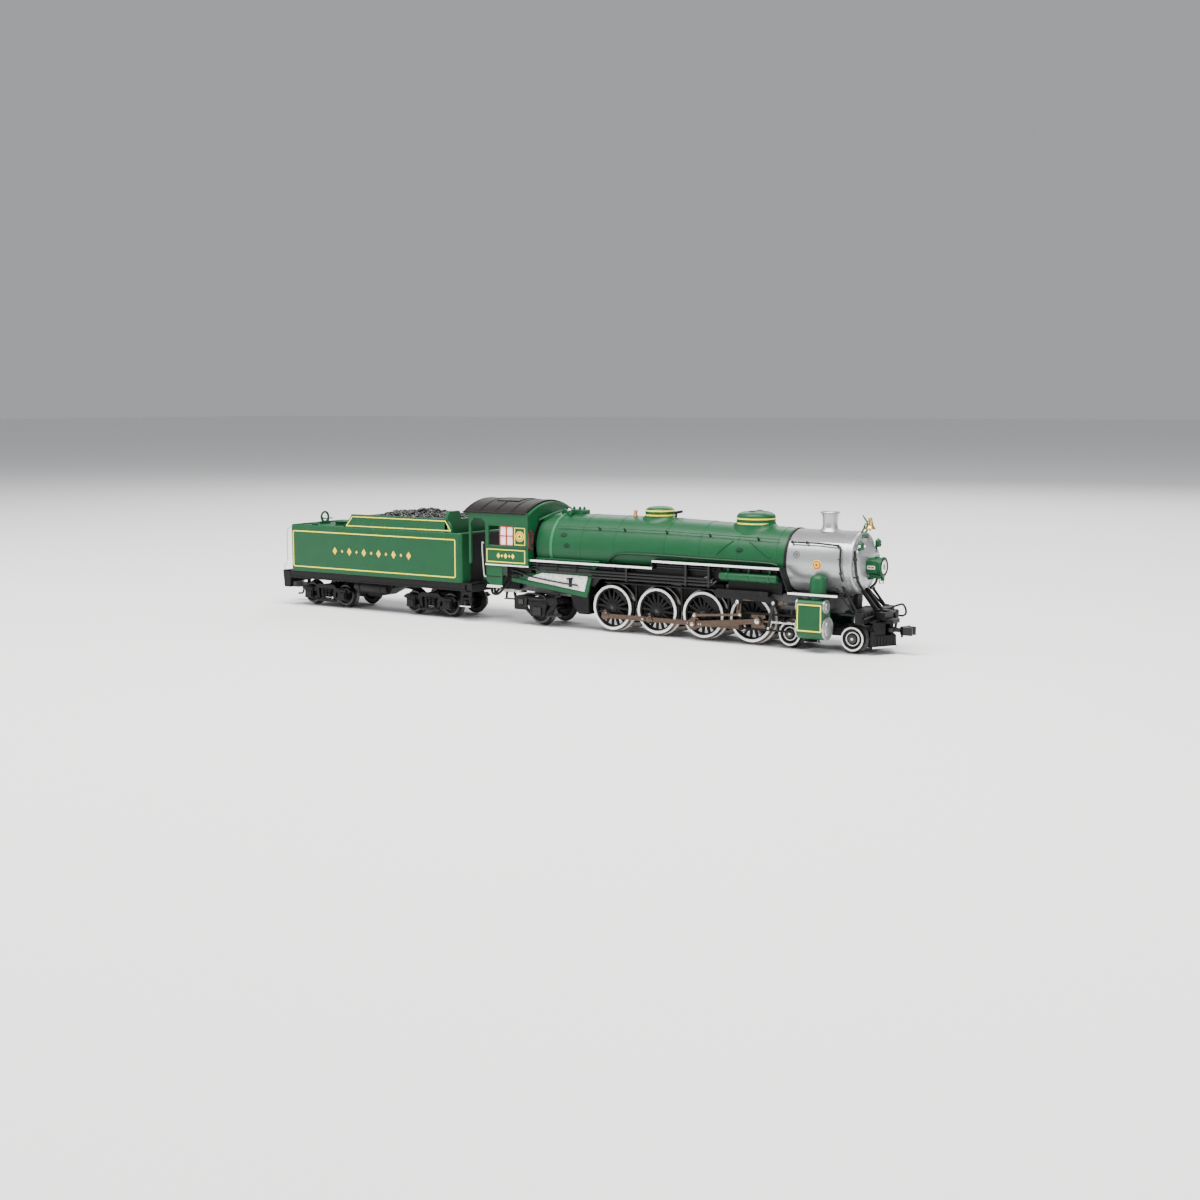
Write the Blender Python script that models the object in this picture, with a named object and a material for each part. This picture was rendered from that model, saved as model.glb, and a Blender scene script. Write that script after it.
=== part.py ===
"""Small-scale model of a steam locomotive with its tender.

The design is laid out in millimetres with x = 0 on the rearmost driving axle,
x forward, y to the left and z = 0 on the rail head.  At the end every mesh is
scaled to metres, and an empty carries the whole model so that the origin lies
under the middle of it, on the plane on which the wheel flanges stand.
"""
import math

import bmesh
import bpy
from mathutils import Matrix, Vector

# ---------------------------------------------------------------- dimensions, mm
DRIVER_PITCH = 11.59
DRIVER_X = [i * DRIVER_PITCH for i in range(4)]      # axle 4 (rear) ... axle 1 (front)
MAIN = 2                                             # index of the main, geared axle
TREAD_R = 5.0
AXLE_Z = 5.0
FLANGE = 0.6
CRANK = 2.4
CRANK_DEG = -128.0                                   # right-hand crank in x-z at rest
WHEEL_OUT, WHEEL_IN = 5.7, 3.85                      # wheel faces from the centre line
PILOT_X = (43.83, 57.92)
PILOT_R = 2.5
TRAIL_X, TRAIL_R = -19.6, 2.9
TENDER_TRUCK_X = (-51.4, -84.85)
TENDER_WHEELBASE = 11.1
TENDER_R = 2.6
CYL_Z = 4.8
WRIST_X = 37.15
PISTON_Y = 6.75
SHAFT_Z = 9.9
GAP = 0.05                                           # between pieces that touch
BOILER_Z = 17.7
ORIGIN_X = 16.5                                      # set so that the model is centred
ORIGIN_Z = FLANGE

COLOURS = {
    "green": ((0.045, 0.19, 0.08), 0.38, 0.0),
    "black": ((0.02, 0.02, 0.022), 0.5, 0.0),
    "silver": ((0.62, 0.63, 0.64), 0.35, 0.6),
    "roof": ((0.03, 0.022, 0.02), 0.6, 0.0),
    "rod": ((0.2, 0.12, 0.08), 0.4, 0.8),
    "steel": ((0.5, 0.5, 0.5), 0.3, 1.0),
    "brass": ((0.7, 0.5, 0.2), 0.3, 1.0),
    "metal": ((0.25, 0.25, 0.27), 0.5, 0.7),
    "coal": ((0.012, 0.012, 0.012), 0.8, 0.0),
    "copper": ((0.5, 0.25, 0.12), 0.35, 1.0),
}

for old in list(bpy.data.objects):
    bpy.data.objects.remove(old, do_unlink=True)
MODEL = bpy.data.collections.new("steam_locomotive")
bpy.context.scene.collection.children.link(MODEL)
ROOT = bpy.data.objects.new("locomotive_origin", None)
MODEL.objects.link(ROOT)
ROOT.location = (ORIGIN_X * 0.001, 0.0, ORIGIN_Z * 0.001)


# ---------------------------------------------------------------- helpers
def from_bmesh(bm, name="piece"):
    bmesh.ops.recalc_face_normals(bm, faces=bm.faces)
    mesh = bpy.data.meshes.new(name)
    bm.to_mesh(mesh)
    bm.free()
    obj = bpy.data.objects.new(name, mesh)
    MODEL.objects.link(obj)
    return obj


def block(x, y, z):
    """A box from its low and high limits along each axis."""
    bm = bmesh.new()
    bmesh.ops.create_cube(bm, size=1.0)
    size = Matrix.Diagonal((x[1] - x[0], y[1] - y[0], z[1] - z[0], 1.0))
    place = Matrix.Translation(((x[0] + x[1]) / 2, (y[0] + y[1]) / 2, (z[0] + z[1]) / 2))
    bmesh.ops.transform(bm, matrix=place @ size, verts=bm.verts)
    return from_bmesh(bm)


def rod(a, b, r, sides=16, r2=None):
    """A round bar, or a cone, between two points."""
    a, b = Vector(a), Vector(b)
    bm = bmesh.new()
    bmesh.ops.create_cone(bm, cap_ends=True, segments=sides, radius1=r,
                          radius2=r if r2 is None else r2, depth=(b - a).length)
    turn = (b - a).to_track_quat("Z", "Y").to_matrix().to_4x4()
    bmesh.ops.transform(bm, matrix=Matrix.Translation((a + b) / 2) @ turn, verts=bm.verts)
    return from_bmesh(bm)


def turned(centre, axis, profile, sides=24):
    """A turned piece: profile pairs (radius, position along the axis)."""
    bm = bmesh.new()
    verts = [bm.verts.new((r, 0.0, h)) for r, h in profile]
    edges = [bm.edges.new(pair) for pair in zip(verts, verts[1:] + verts[:1])]
    if profile[0][0] < 1e-6 and profile[-1][0] < 1e-6:
        bm.edges.remove(edges.pop())
    bmesh.ops.spin(bm, geom=verts + edges, cent=(0, 0, 0), axis=(0, 0, 1),
                   angle=2 * math.pi, steps=sides, use_merge=True)
    bmesh.ops.remove_doubles(bm, verts=bm.verts, dist=1e-5)
    turn = Vector(axis).to_track_quat("Z", "Y").to_matrix().to_4x4()
    bmesh.ops.transform(bm, matrix=Matrix.Translation(centre) @ turn, verts=bm.verts)
    return from_bmesh(bm)


def plate(outline, axis, lo, hi):
    """A flat outline extruded along an axis. Outline pairs are the other two axes in order."""
    curve = bpy.data.curves.new("outline", "CURVE")
    curve.dimensions = "2D"
    curve.fill_mode = "BOTH"
    curve.extrude = (hi - lo) / 2
    spline = curve.splines.new("POLY")
    spline.points.add(len(outline) - 1)
    for point, (u, v) in zip(spline.points, outline):
        point.co = (u, v, 0.0, 1.0)
    spline.use_cyclic_u = True
    flat = to_mesh(curve)
    swap = {"x": ((0, 0, 1), (1, 0, 0), (0, 1, 0)),
            "y": ((1, 0, 0), (0, 0, 1), (0, 1, 0)),
            "z": ((1, 0, 0), (0, 1, 0), (0, 0, 1))}[axis]
    frame = Matrix(swap).to_4x4()
    middle = Vector([{"x": 0, "y": 1, "z": 2}[axis] == i for i in range(3)]) * ((lo + hi) / 2)
    bm = bmesh.new()
    bm.from_mesh(flat.data)
    bpy.data.objects.remove(flat, do_unlink=True)
    bmesh.ops.dissolve_limit(bm, angle_limit=0.002, verts=bm.verts, edges=bm.edges)
    bmesh.ops.transform(bm, matrix=Matrix.Translation(middle) @ frame, verts=bm.verts)
    return from_bmesh(bm)


def wire(points, r, res=1, cyclic=False):
    """A bent wire or pipe along the points."""
    curve = bpy.data.curves.new("wire", "CURVE")
    curve.dimensions = "3D"
    curve.bevel_depth = r
    curve.bevel_resolution = res
    curve.use_fill_caps = not cyclic
    spline = curve.splines.new("POLY")
    spline.points.add(len(points) - 1)
    for point, co in zip(spline.points, points):
        point.co = (*co, 1.0)
    spline.use_cyclic_u = cyclic
    return to_mesh(curve)


def to_mesh(curve):
    """A curve as a welded mesh object."""
    guide = bpy.data.objects.new("guide", curve)
    MODEL.objects.link(guide)
    graph = bpy.context.evaluated_depsgraph_get()
    mesh = bpy.data.meshes.new_from_object(guide.evaluated_get(graph))
    bpy.data.objects.remove(guide, do_unlink=True)
    bm = bmesh.new()
    bm.from_mesh(mesh)
    bmesh.ops.remove_doubles(bm, verts=bm.verts, dist=1e-4)
    return from_bmesh(bm)


def tidy(mesh):
    """Welds points that a Boolean leaves almost on each other."""
    bm = bmesh.new()
    bm.from_mesh(mesh)
    bmesh.ops.remove_doubles(bm, verts=bm.verts, dist=2e-4)
    bmesh.ops.dissolve_degenerate(bm, edges=bm.edges, dist=1e-4)
    bm.to_mesh(mesh)
    bm.free()


def combine(base, others, operation):
    for other in others:
        step = base.modifiers.new(operation, "BOOLEAN")
        step.operation = operation
        step.solver = "EXACT"
        step.object = other
        graph = bpy.context.evaluated_depsgraph_get()
        mesh = bpy.data.meshes.new_from_object(base.evaluated_get(graph))
        base.modifiers.clear()
        base.data = mesh
        tidy(mesh)
        bpy.data.objects.remove(other, do_unlink=True)
    return base


def join(base, *others):
    return combine(base, others, "UNION")


def cut(base, *others):
    return combine(base, others, "DIFFERENCE")


def keep(base, other):
    return combine(base, (other,), "INTERSECT")


def copy_of(obj):
    twin = obj.copy()
    twin.data = obj.data.copy()
    MODEL.objects.link(twin)
    return twin


def mirrored(obj):
    """The left-hand twin of a right-hand piece."""
    twin = copy_of(obj)
    bm = bmesh.new()
    bm.from_mesh(twin.data)
    bmesh.ops.transform(bm, matrix=Matrix.Diagonal((1, -1, 1, 1)), verts=bm.verts)
    bmesh.ops.reverse_faces(bm, faces=bm.faces)
    bm.to_mesh(twin.data)
    bm.free()
    return twin


def piece(obj, name, colour, pivot=(0.0, 0.0, 0.0), bevel=0.0):
    """Names a finished piece, gives it its material, and puts its origin on its pivot, in metres."""
    obj.name = obj.data.name = name
    mesh = obj.data
    mesh.transform(Matrix.Translation(-Vector(pivot)))
    mesh.transform(Matrix.Scale(0.001, 4))
    obj.location = Vector(pivot) * 0.001
    obj.parent = ROOT
    base, rough, metallic = COLOURS[colour]
    material = bpy.data.materials.new(name)
    material.use_nodes = True
    shader = material.node_tree.nodes["Principled BSDF"]
    shader.inputs["Base Color"].default_value = (*base, 1.0)
    shader.inputs["Roughness"].default_value = rough
    shader.inputs["Metallic"].default_value = metallic
    mesh.materials.clear()
    mesh.materials.append(material)
    mesh.shade_smooth()
    mesh.set_sharp_from_angle(angle=math.radians(35))
    return obj


def arc(cx, cy, r, start, end, steps):
    """Points on a circular arc, degrees, both ends included."""
    turn = [math.radians(start + (end - start) * i / steps) for i in range(steps + 1)]
    return [(cx + r * math.cos(t), cy + r * math.sin(t)) for t in turn]


def crank(deg, x, z, r=CRANK):
    return (x + r * math.cos(math.radians(deg)), z + r * math.sin(math.radians(deg)))


SIDE = {"right": -1, "left": 1}
ANGLE = {"right": CRANK_DEG, "left": CRANK_DEG + 90.0}


def at(side, y):
    """A y position that is given for the right-hand side, on either side."""
    return -y * SIDE[side]


def across(side, x, z, near, far, r, sides=16):
    """A round bar across the model, from |y| = near to |y| = far on one side."""
    s = SIDE[side]
    return rod((x, s * near, z), (x, s * far, z), r, sides)


# ---------------------------------------------------------------- driving wheels, axles and gears
def driving_wheel(side, x, with_pin):
    s = SIDE[side]
    profile = [(0, WHEEL_OUT), (TREAD_R, WHEEL_OUT), (TREAD_R + 0.02, 4.4), (TREAD_R + FLANGE, 4.15),
               (TREAD_R + 0.45, WHEEL_IN), (0, WHEEL_IN)]
    wheel = turned((x, 0, AXLE_Z), (0, s, 0), profile, 28)
    px, pz = crank(ANGLE[side], x, AXLE_Z)
    if with_pin:
        wheel = join(wheel, across(side, px, pz, 5.2, 6.6, 0.45, 10))
    else:
        wheel = cut(wheel, across(side, px, pz, 4.6, 6.6, 0.6, 12))
    return wheel


for index, x in enumerate(DRIVER_X):
    number = 4 - index
    pivot = (x, 0, AXLE_Z)
    right = driving_wheel("right", x, index != MAIN)
    left = driving_wheel("left", x, index != MAIN)
    if index == MAIN:
        for wheel in (right, left):
            cut(wheel, rod((x, -6.5, AXLE_Z), (x, 6.5, AXLE_Z), 0.85, 12))
        gear = turned((x, 0, AXLE_Z), (0, 1, 0), [(0, -0.8), (3.4, -0.8), (3.4, 0.8), (0, 0.8)], 24)
        axle = join(rod((x, -5.72, AXLE_Z), (x, 5.72, AXLE_Z), 0.8, 12), gear)
        piece(right, "main_driver_right", "black", pivot)
        piece(left, "main_driver_left", "black", pivot)
        piece(axle, "main_axle_gear", "steel", pivot)
    else:
        right = join(right, rod((x, -4.5, AXLE_Z), (x, 5.72, AXLE_Z), 0.8, 12))
        left = cut(left, rod((x, 3.0, AXLE_Z), (x, 6.5, AXLE_Z), 0.85, 12))
        piece(right, f"driver_{number}_right_and_axle", "black", pivot)
        piece(left, f"driver_{number}_left", "black", pivot)

# ---------------------------------------------------------------- rods and valve gear
main_x = DRIVER_X[MAIN]
RETURN_DX, RETURN_DZ = 0.80, 2.02                    # return crank, from the main pin
ROD_DX = WRIST_X - crank(CRANK_DEG, main_x, AXLE_Z)[0]
ROD_DZ = CYL_Z - crank(CRANK_DEG, main_x, AXLE_Z)[1]
ROD_LENGTH = math.hypot(ROD_DX, ROD_DZ)


def link_bar(side, ends, widths, bosses, holes, near, far):
    """A flat rod between two pins, with round bosses and bored eyes."""
    (x0, z0), (x1, z1) = ends
    length = math.hypot(x1 - x0, z1 - z0)
    nx, nz = -(z1 - z0) / length, (x1 - x0) / length
    w0, w1 = widths
    x0, z0, x1, z1 = x0 + nz * 0.07, z0 - nx * 0.07, x1 - nz * 0.07, z1 + nx * 0.07
    outline = [(x0 + nx * w0, z0 + nz * w0), (x0 - nx * w0, z0 - nz * w0),
               (x1 - nx * w1, z1 - nz * w1), (x1 + nx * w1, z1 + nz * w1)]
    s = SIDE[side]
    lo, hi = sorted((s * near, s * far))
    bar = plate(outline, "y", lo, hi)
    for (x, z), r in zip(ends, bosses):
        bar = join(bar, across(side, x, z, near - 0.03, far + 0.03, r, 14))
    for (x, z), r in zip(ends, holes):
        if r:
            bar = cut(bar, across(side, x, z, near - 1, far + 1, r, 10))
    return bar


def slot_out(obj, side, x, z, r, near, far):
    return cut(obj, across(side, x, z, near - 1, far + 1, r, 10))


for side in ("right", "left"):
    s, deg = SIDE[side], ANGLE[side]
    pins = [crank(deg, x, AXLE_Z) for x in DRIVER_X]
    main_pin = pins[MAIN]
    # side rod: one bar over the four crank pins
    bar = block((pins[0][0], pins[3][0]), sorted((s * 5.95, s * 6.45)), (pins[0][1] - 0.5, pins[0][1] + 0.5))
    for i, (px, pz) in enumerate(pins):
        bar = join(bar, across(side, px, pz, 5.92, 6.48, 1.15 if i == MAIN else 0.95, 14))
    for i, (px, pz) in enumerate(pins):
        bar = slot_out(bar, side, px, pz, 0.61 if i == MAIN else 0.5, 5.95, 6.45)
    piece(bar, f"side_rod_{side}", "rod", (main_pin[0], s * 6.2, main_pin[1]))

    # main rod: from the main crank pin towards the crosshead, open at the wrist pin
    if side == "right":
        wrist = (main_pin[0] + ROD_DX, main_pin[1] + ROD_DZ)
    else:
        drop = CYL_Z - main_pin[1]
        wrist = (main_pin[0] + math.sqrt(ROD_LENGTH ** 2 - drop ** 2), CYL_Z)
    rod_bar = link_bar(side, (main_pin, wrist), (0.62, 0.5), (1.25, 0.85), (0.61, 0.4), 7.05, 7.55)
    piece(rod_bar, f"main_rod_{side}", "rod", (main_pin[0], s * 7.3, main_pin[1]))

    # crosshead with its piston rod
    shoe = block((wrist[0] - 1.6, wrist[0] + 1.6), sorted((s * 6.6, s * 6.98)), (3.3, 6.14))
    shoe = join(shoe, rod((wrist[0] + 1.0, s * PISTON_Y, CYL_Z), (wrist[0] + 11.6, s * PISTON_Y, CYL_Z), 0.24, 12))
    piece(shoe, f"crosshead_{side}", "rod", (wrist[0], s * 6.79, CYL_Z))

    # return crank: the pin that holds the rods, its arm and the eccentric pin
    turn = math.radians(deg - CRANK_DEG)
    dx = RETURN_DX * math.cos(turn) - RETURN_DZ * math.sin(turn)
    dz = RETURN_DX * math.sin(turn) + RETURN_DZ * math.cos(turn)
    ecc = (main_pin[0] + dx, main_pin[1] + dz)
    arm = link_bar(side, (main_pin, ecc), (0.42, 0.36), (0.8, 0.5), (0, 0), 7.62, 7.88)
    arm = join(arm, across(side, *main_pin, 4.65, 7.75, 0.55, 14))
    arm = join(arm, across(side, *ecc, 7.75, 8.4, 0.3, 12))
    piece(arm, f"return_crank_{side}", "rod", (main_x, s * 7.7, AXLE_Z))

    # eccentric rod, open at the foot of the link
    foot = (33.48, 6.03)
    if side == "left":
        foot = (33.05, 6.03)
    ecc_rod = link_bar(side, (ecc, foot), (0.24, 0.24), (0.5, 0.42), (0.35, 0.22), 7.95, 8.2)
    piece(ecc_rod, f"eccentric_rod_{side}", "rod", (*ecc[:1], s * 8.1, ecc[1]))

    # expansion link: a curved slotted bar on a trunnion
    outer = arc(33.1 - 9.0, 8.05, 9.45, -13.0, 10.5, 6)
    inner = arc(33.1 - 9.0, 8.05, 8.55, 10.5, -13.0, 6)
    link = plate(outer + inner, "y", *sorted((s * 7.62, s * 7.88)))
    link = join(link, across(side, 33.1, 8.75, 7.6, 7.9, 0.62, 14))
    link = slot_out(link, side, 33.1, 8.75, 0.32, 7.62, 7.88)
    piece(link, f"expansion_link_{side}", "rod", (33.1, s * 7.75, 8.75))

    # combination lever, hung from the valve guide
    swing = math.radians(-11.7 if side == "right" else 24.0)
    lever_foot = (41.7 + 5.41 * math.sin(swing), 9.1 - 5.41 * math.cos(swing))
    lever = link_bar(side, ((41.7, 9.1), lever_foot), (0.36, 0.28), (0.6, 0.42), (0.32, 0.0), 8.8, 9.1)
    piece(lever, f"combination_lever_{side}", "black", (41.7, s * 8.95, 9.1))

    # guide bars, their yoke, the link hanger and the valve guide, in one casting
    guide = block((33.0, 46.3), sorted((s * 6.6, s * 6.98)), (6.2, 6.62))
    guide = join(guide, block((33.0, 46.3), sorted((s * 6.6, s * 6.98)), (2.85, 3.24)))
    guide = join(guide, block((32.7, 33.3), sorted((s * 6.6, s * 6.98)), (2.85, 11.2)))
    guide = join(guide, block((28.0, 40.2), sorted((s * 6.6, s * 8.68)), (10.15, 11.2)))
    guide = join(guide, plate([(27.2, 10.9), (28.0, 9.3), (32.2, 9.3), (32.6, 8.3), (33.6, 8.3), (34.0, 9.3),
                               (41.2, 8.7), (42.2, 8.7), (42.2, 9.6), (38.0, 10.9)], "y", *sorted((s * 8.3, s * 8.68))))
    guide = join(guide, across(side, 33.1, 8.75, 7.55, 8.5, 0.27, 12))
    guide = join(guide, across(side, 41.7, 9.1, 8.5, 9.15, 0.27, 12))
    piece(guide, f"crosshead_guide_{side}", "black")

    # cylinder with its valve chest and steam pipe; bored for the piston rod
    jacket = [(5.95, 2.6)] + arc(7.4, 4.5, 2.4, -120, -10, 6) + [(9.76, 5.0), (9.76, 8.2)] + arc(8.3, 9.0, 1.45, 5, 160, 6) + [(5.95, 9.6)]
    cyl = plate([(s * y, z) for y, z in jacket], "x", 47.4, 53.0)
    cyl = join(cyl, rod((46.95, s * 7.4, 4.5), (53.95, s * 7.4, 4.5), 2.25, 20))
    cyl = join(cyl, rod((46.95, s * 8.1, 9.0), (53.95, s * 8.1, 9.0), 1.4, 16))
    cyl = join(cyl, rod((50.7, s * 7.7, 10.0), (50.7, s * 7.0, 14.2), 1.45, 16))
    cyl = cut(cyl, block((46.0, 55.0), sorted((s * 3.0, s * 5.94)), (0.0, 20.0)))
    cyl = cut(cyl, rod((46.0, s * PISTON_Y, CYL_Z), (52.9, s * PISTON_Y, CYL_Z), 0.32, 12))
    cyl = cut(cyl, rod((40.0, 0, 17.5), (60.0, 0, 17.5), 6.6, 32))
    piece(cyl, f"cylinder_{side}", "green")

# ---------------------------------------------------------------- chassis
outline = [(-30.5, 8.6), (-16.2, 8.6), (-16.2, 6.3), (13.6, 6.3), (13.6, 11.6), (16.4, 11.6), (16.4, 7.0),
           (27.2, 7.0), (27.2, 11.6), (30.6, 11.6), (31.6, 10.5), (56.0, 10.5), (56.0, 7.2),
           (40.3, 7.2), (38.9, 3.0), (-6.5, 3.0), (-8.0, 6.6), (-30.5, 7.2)]
frame = plate(outline, "y", -3.0, 3.0)
for x in DRIVER_X:
    frame = cut(frame, block((x - 0.88, x + 0.88), (-4, 4), (2.0, AXLE_Z)))
    frame = cut(frame, rod((x, -4, AXLE_Z), (x, 4, AXLE_Z), 0.88, 16))
frame = cut(frame, block((main_x - 3.9, main_x + 3.9), (-1.0, 1.0), (0, 12.0)))
frame = cut(frame, rod((12.0, 0, SHAFT_Z), (29.8, 0, SHAFT_Z), 0.62, 12))
saddle = block((47.2, 53.2), (-5.85, 5.85), (8.3, 10.95))
frame = join(frame, saddle)
frame = cut(frame, rod((40.0, 0, 17.5), (60.0, 0, 17.5), 6.62, 32))
frame = join(frame, rod((41.5, 0, 7.4), (41.5, 0, 5.6), 0.7, 12))      # pilot truck stud
frame = join(frame, rod((-12.0, 0, 6.9), (-12.0, 0, 5.4), 0.7, 12))    # trailing truck stud
frame = join(frame, rod((-29.3, 0, 7.6), (-29.3, 0, 5.9), 0.6, 12))    # drawbar stud
piece(frame, "loco_frame", "metal")

keeper = block((-5.0, 38.0), (-2.9, 2.9), (2.2, 2.95))
keeper = cut(keeper, block((main_x - 3.9, main_x + 3.9), (-1.0, 1.0), (0, 12.0)))
piece(keeper, "keeper_plate", "black")

motor = block((-15.6, 3.4), (-3.5, 3.5), (6.35, 13.4))
motor = cut(motor, rod((-17.0, 0, SHAFT_Z), (5.0, 0, SHAFT_Z), 0.62, 12))
piece(motor, "motor", "metal")
shaft = rod((-16.2, 0, SHAFT_Z), (29.6, 0, SHAFT_Z), 0.55, 12)
shaft = join(shaft, rod((4.4, 0, SHAFT_Z), (11.0, 0, SHAFT_Z), 3.3, 28))
shaft = join(shaft, rod((20.4, 0, SHAFT_Z), (26.0, 0, SHAFT_Z), 1.45, 18))
piece(shaft, "worm_shaft_flywheel", "brass", (0, 0, SHAFT_Z))

# ---------------------------------------------------------------- boiler, smokebox, fittings
def barrel(x0, x1, r0, r1, z0, z1):
    return rod((x0, 0, z0), (x1, 0, z1), r0, 36, r1)


shell = barrel(-19.4, 14.0, 7.5, 7.42, 17.6, 17.65)
shell = join(shell, barrel(13.9, 42.9, 7.42, 6.62, 17.65, 17.5))
wrapper = [(-25.9, 11.6), (-25.9, 9.6), (-5.4, 7.4), (-4.3, 11.6), (-2.0, 15.4), (-19.4, 15.4), (-19.4, 11.6)]
for s in (-1, 1):
    shell = join(shell, plate(wrapper, "y", *sorted((s * 7.9, s * 6.9))))
shell = cut(shell, barrel(-18.6, 42.1, 6.7, 5.8, 17.6, 17.5))
shell = cut(shell, block((-30.0, 41.6), (-4.0, 4.0), (0.0, 14.0)))
shell = cut(shell, block((-18.6, -1.2), (-6.1, 6.1), (0.0, 14.0)))
shell = join(shell, rod((3.1, -0.9, 24.0), (3.1, -0.9, 25.8), 0.4, 10), rod((2.0, 0.9, 24.0), (2.0, 0.9, 25.8), 0.4, 10))
shell = join(shell, block((-16.4, -10.6), (-1.6, 1.6), (24.3, 26.3)))
piece(shell, "boiler_shell", "green")

smoke = rod((42.95, 0, 17.5), (57.0, 0, 17.5), 6.5, 36)
smoke = cut(smoke, rod((42.0, 0, 17.5), (55.6, 0, 17.5), 5.7, 32))
smoke = cut(smoke, rod((50.0, 0, 20.0), (50.0, 0, 26.0), 1.2, 16))
piece(smoke, "smokebox", "silver")
front = turned((57.05, 0, 17.5), (1, 0, 0), [(0, 0), (6.4, 0), (6.4, 0.7), (5.3, 0.9), (5.1, 1.5), (3.5, 2.0), (0, 2.2)], 32)
for s in (-1, 1):
    front = join(front, rod((57.8, s * 4.24, 20.9), (58.9, s * 4.24, 20.9), 0.35, 10), rod((58.9, s * 4.24, 20.2), (58.9, s * 4.24, 22.3), 0.75, 12))
piece(front, "smokebox_front", "silver")
stack = turned((50.0, 0, 0), (0, 0, 1), [(1.15, 23.6), (1.15, 27.0), (1.5, 27.8), (2.1, 27.8), (2.1, 27.5), (1.6, 26.6), (1.55, 24.9), (2.0, 24.1), (1.9, 24.02)], 24)
stack = cut(stack, rod((42.0, 0, 17.5), (60.0, 0, 17.5), 6.53, 36))
piece(stack, "smokestack", "silver", (50.0, 0, 24.0))


def dome(x, r, top, name):
    body = turned((x, 0, 0), (0, 0, 1), [(0, 22.0), (r + 0.5, 22.0), (r, 24.6), (r, top - 0.9), (r - 0.4, top - 0.35), (r - 1.3, top), (0, top)], 28)
    saddle_tool = join(barrel(-19.4, 14.0, 7.5 + GAP, 7.42 + GAP, 17.6, 17.65), barrel(13.9, 42.9, 7.42 + GAP, 6.62 + GAP, 17.65, 17.5))
    piece(cut(body, saddle_tool), name, "green", (x, 0, 24.5))


dome(8.95, 3.35, 27.5, "steam_dome")
dome(32.8, 4.2, 27.3, "sand_dome")
lamp = turned((59.3, 0, 16.9), (1, 0, 0), [(0, 0), (1.9, 0), (2.1, 0.3), (2.1, 2.7), (1.75, 2.9), (1.75, 2.4), (0, 2.0)], 24)
piece(lamp, "headlight", "green", (59.3, 0, 16.9))

for side in ("right", "left"):
    s = SIDE[side]
    board = block((-19.3, 12.2), sorted((s * 7.6, s * 8.8)), (14.2, 14.9))
    board = join(board, block((12.1, 42.9), sorted((s * 7.6, s * 8.8)), (15.5, 16.2)))
    board = join(board, block((11.6, 12.7), sorted((s * 7.6, s * 8.8)), (12.2, 16.2)))
    board = join(board, block((-8.0, 28.0), sorted((s * 7.7, s * 8.6)), (12.2, 13.0)))
    board = join(board, block((-8.0, -7.0), sorted((s * 7.7, s * 8.6)), (12.5, 14.5)))
    board = join(board, block((27.0, 42.5), sorted((s * 7.0, s * 8.6)), (13.0, 15.0)))
    board = join(board, block((27.0, 28.0), sorted((s * 7.7, s * 8.6)), (12.2, 15.9)), block((41.4, 42.5), sorted((s * 7.7, s * 8.6)), (13.0, 16.0)))
    tool = join(barrel(-19.4, 14.0, 7.5 + GAP, 7.42 + GAP, 17.6, 17.65), barrel(13.9, 43.5, 7.42 + GAP, 6.62 + GAP, 17.65, 17.5))
    board = cut(board, tool)
    board = cut(board, block((-30.0, -1.9), sorted((s * 6.0, s * 7.95)), (7.0, 15.45)))
    piece(board, f"running_board_{side}", "black")

# ---------------------------------------------------------------- cab
def roof_line(inset, half):
    """A flat arch of the cab roof, this far inside its outer skin, as (y, z) points from left to right."""
    rise, width, eave = 2.8, 9.6, 25.16
    r = (width ** 2 + rise ** 2) / (2 * rise)
    lim = math.degrees(math.asin(half / (r - inset)))
    return arc(0, eave + rise - r, r - inset, 90 - lim, 90 + lim, 12)


cab = plate([(9.5, 13.3)] + roof_line(0.4, 9.5) + [(-9.5, 13.3)], "x", -37.6, -20.3)
cab = cut(cab, plate([(8.7, 12.0)] + roof_line(1.1, 8.7) + [(-8.7, 12.0)], "x", -39.0, -21.1))
cab = cut(cab, rod((-25.0, 0, 17.6), (-10.0, 0, 17.6), 7.62, 36))
cab = cut(cab, block((-22.5, -19.0), (-7.95, 7.95), (7.0, 17.6)))
cab = cut(cab, block((-31.4, -21.6), (-12, 12), (17.3, 22.1)))
cab = cut(cab, block((-39.0, -32.75), (-12, 12), (10.0, 23.8)))
for s in (-1, 1):
    cab = join(cab, block((-32.7, -28.5), sorted((s * 9.4, s * 8.8)), (9.2, 13.5)))
cab = join(cab, block((-32.7, -24.2), (-9.0, 9.0), (12.9, 13.5)))
cab = cut(cab, block((-26.1, -20.0), (-8.0, 8.0), (7.0, 15.5)))
piece(cab, "cab", "green")
roof = plate(roof_line(0.0, 9.6) + roof_line(0.35, 9.5)[::-1], "x", -38.7, -20.9)
piece(roof, "cab_roof", "roof")

# ---------------------------------------------------------------- pilot
pilot = block((59.6, 61.1), (-8.3, 8.3), (5.9, 8.2))
pilot = join(pilot, block((56.1, 60.0), (-5.2, 5.2), (7.5, 8.15)))
pilot = join(pilot, block((56.1, 57.0), (-2.2, 2.2), (7.6, 11.0)))
for s in (-1, 1):
    pilot = join(pilot, plate([(57.2, 12.2), (58.0, 12.3), (61.7, 8.1), (60.8, 7.8)], "y", *sorted((s * 0.65, s * 1.45))))
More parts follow.
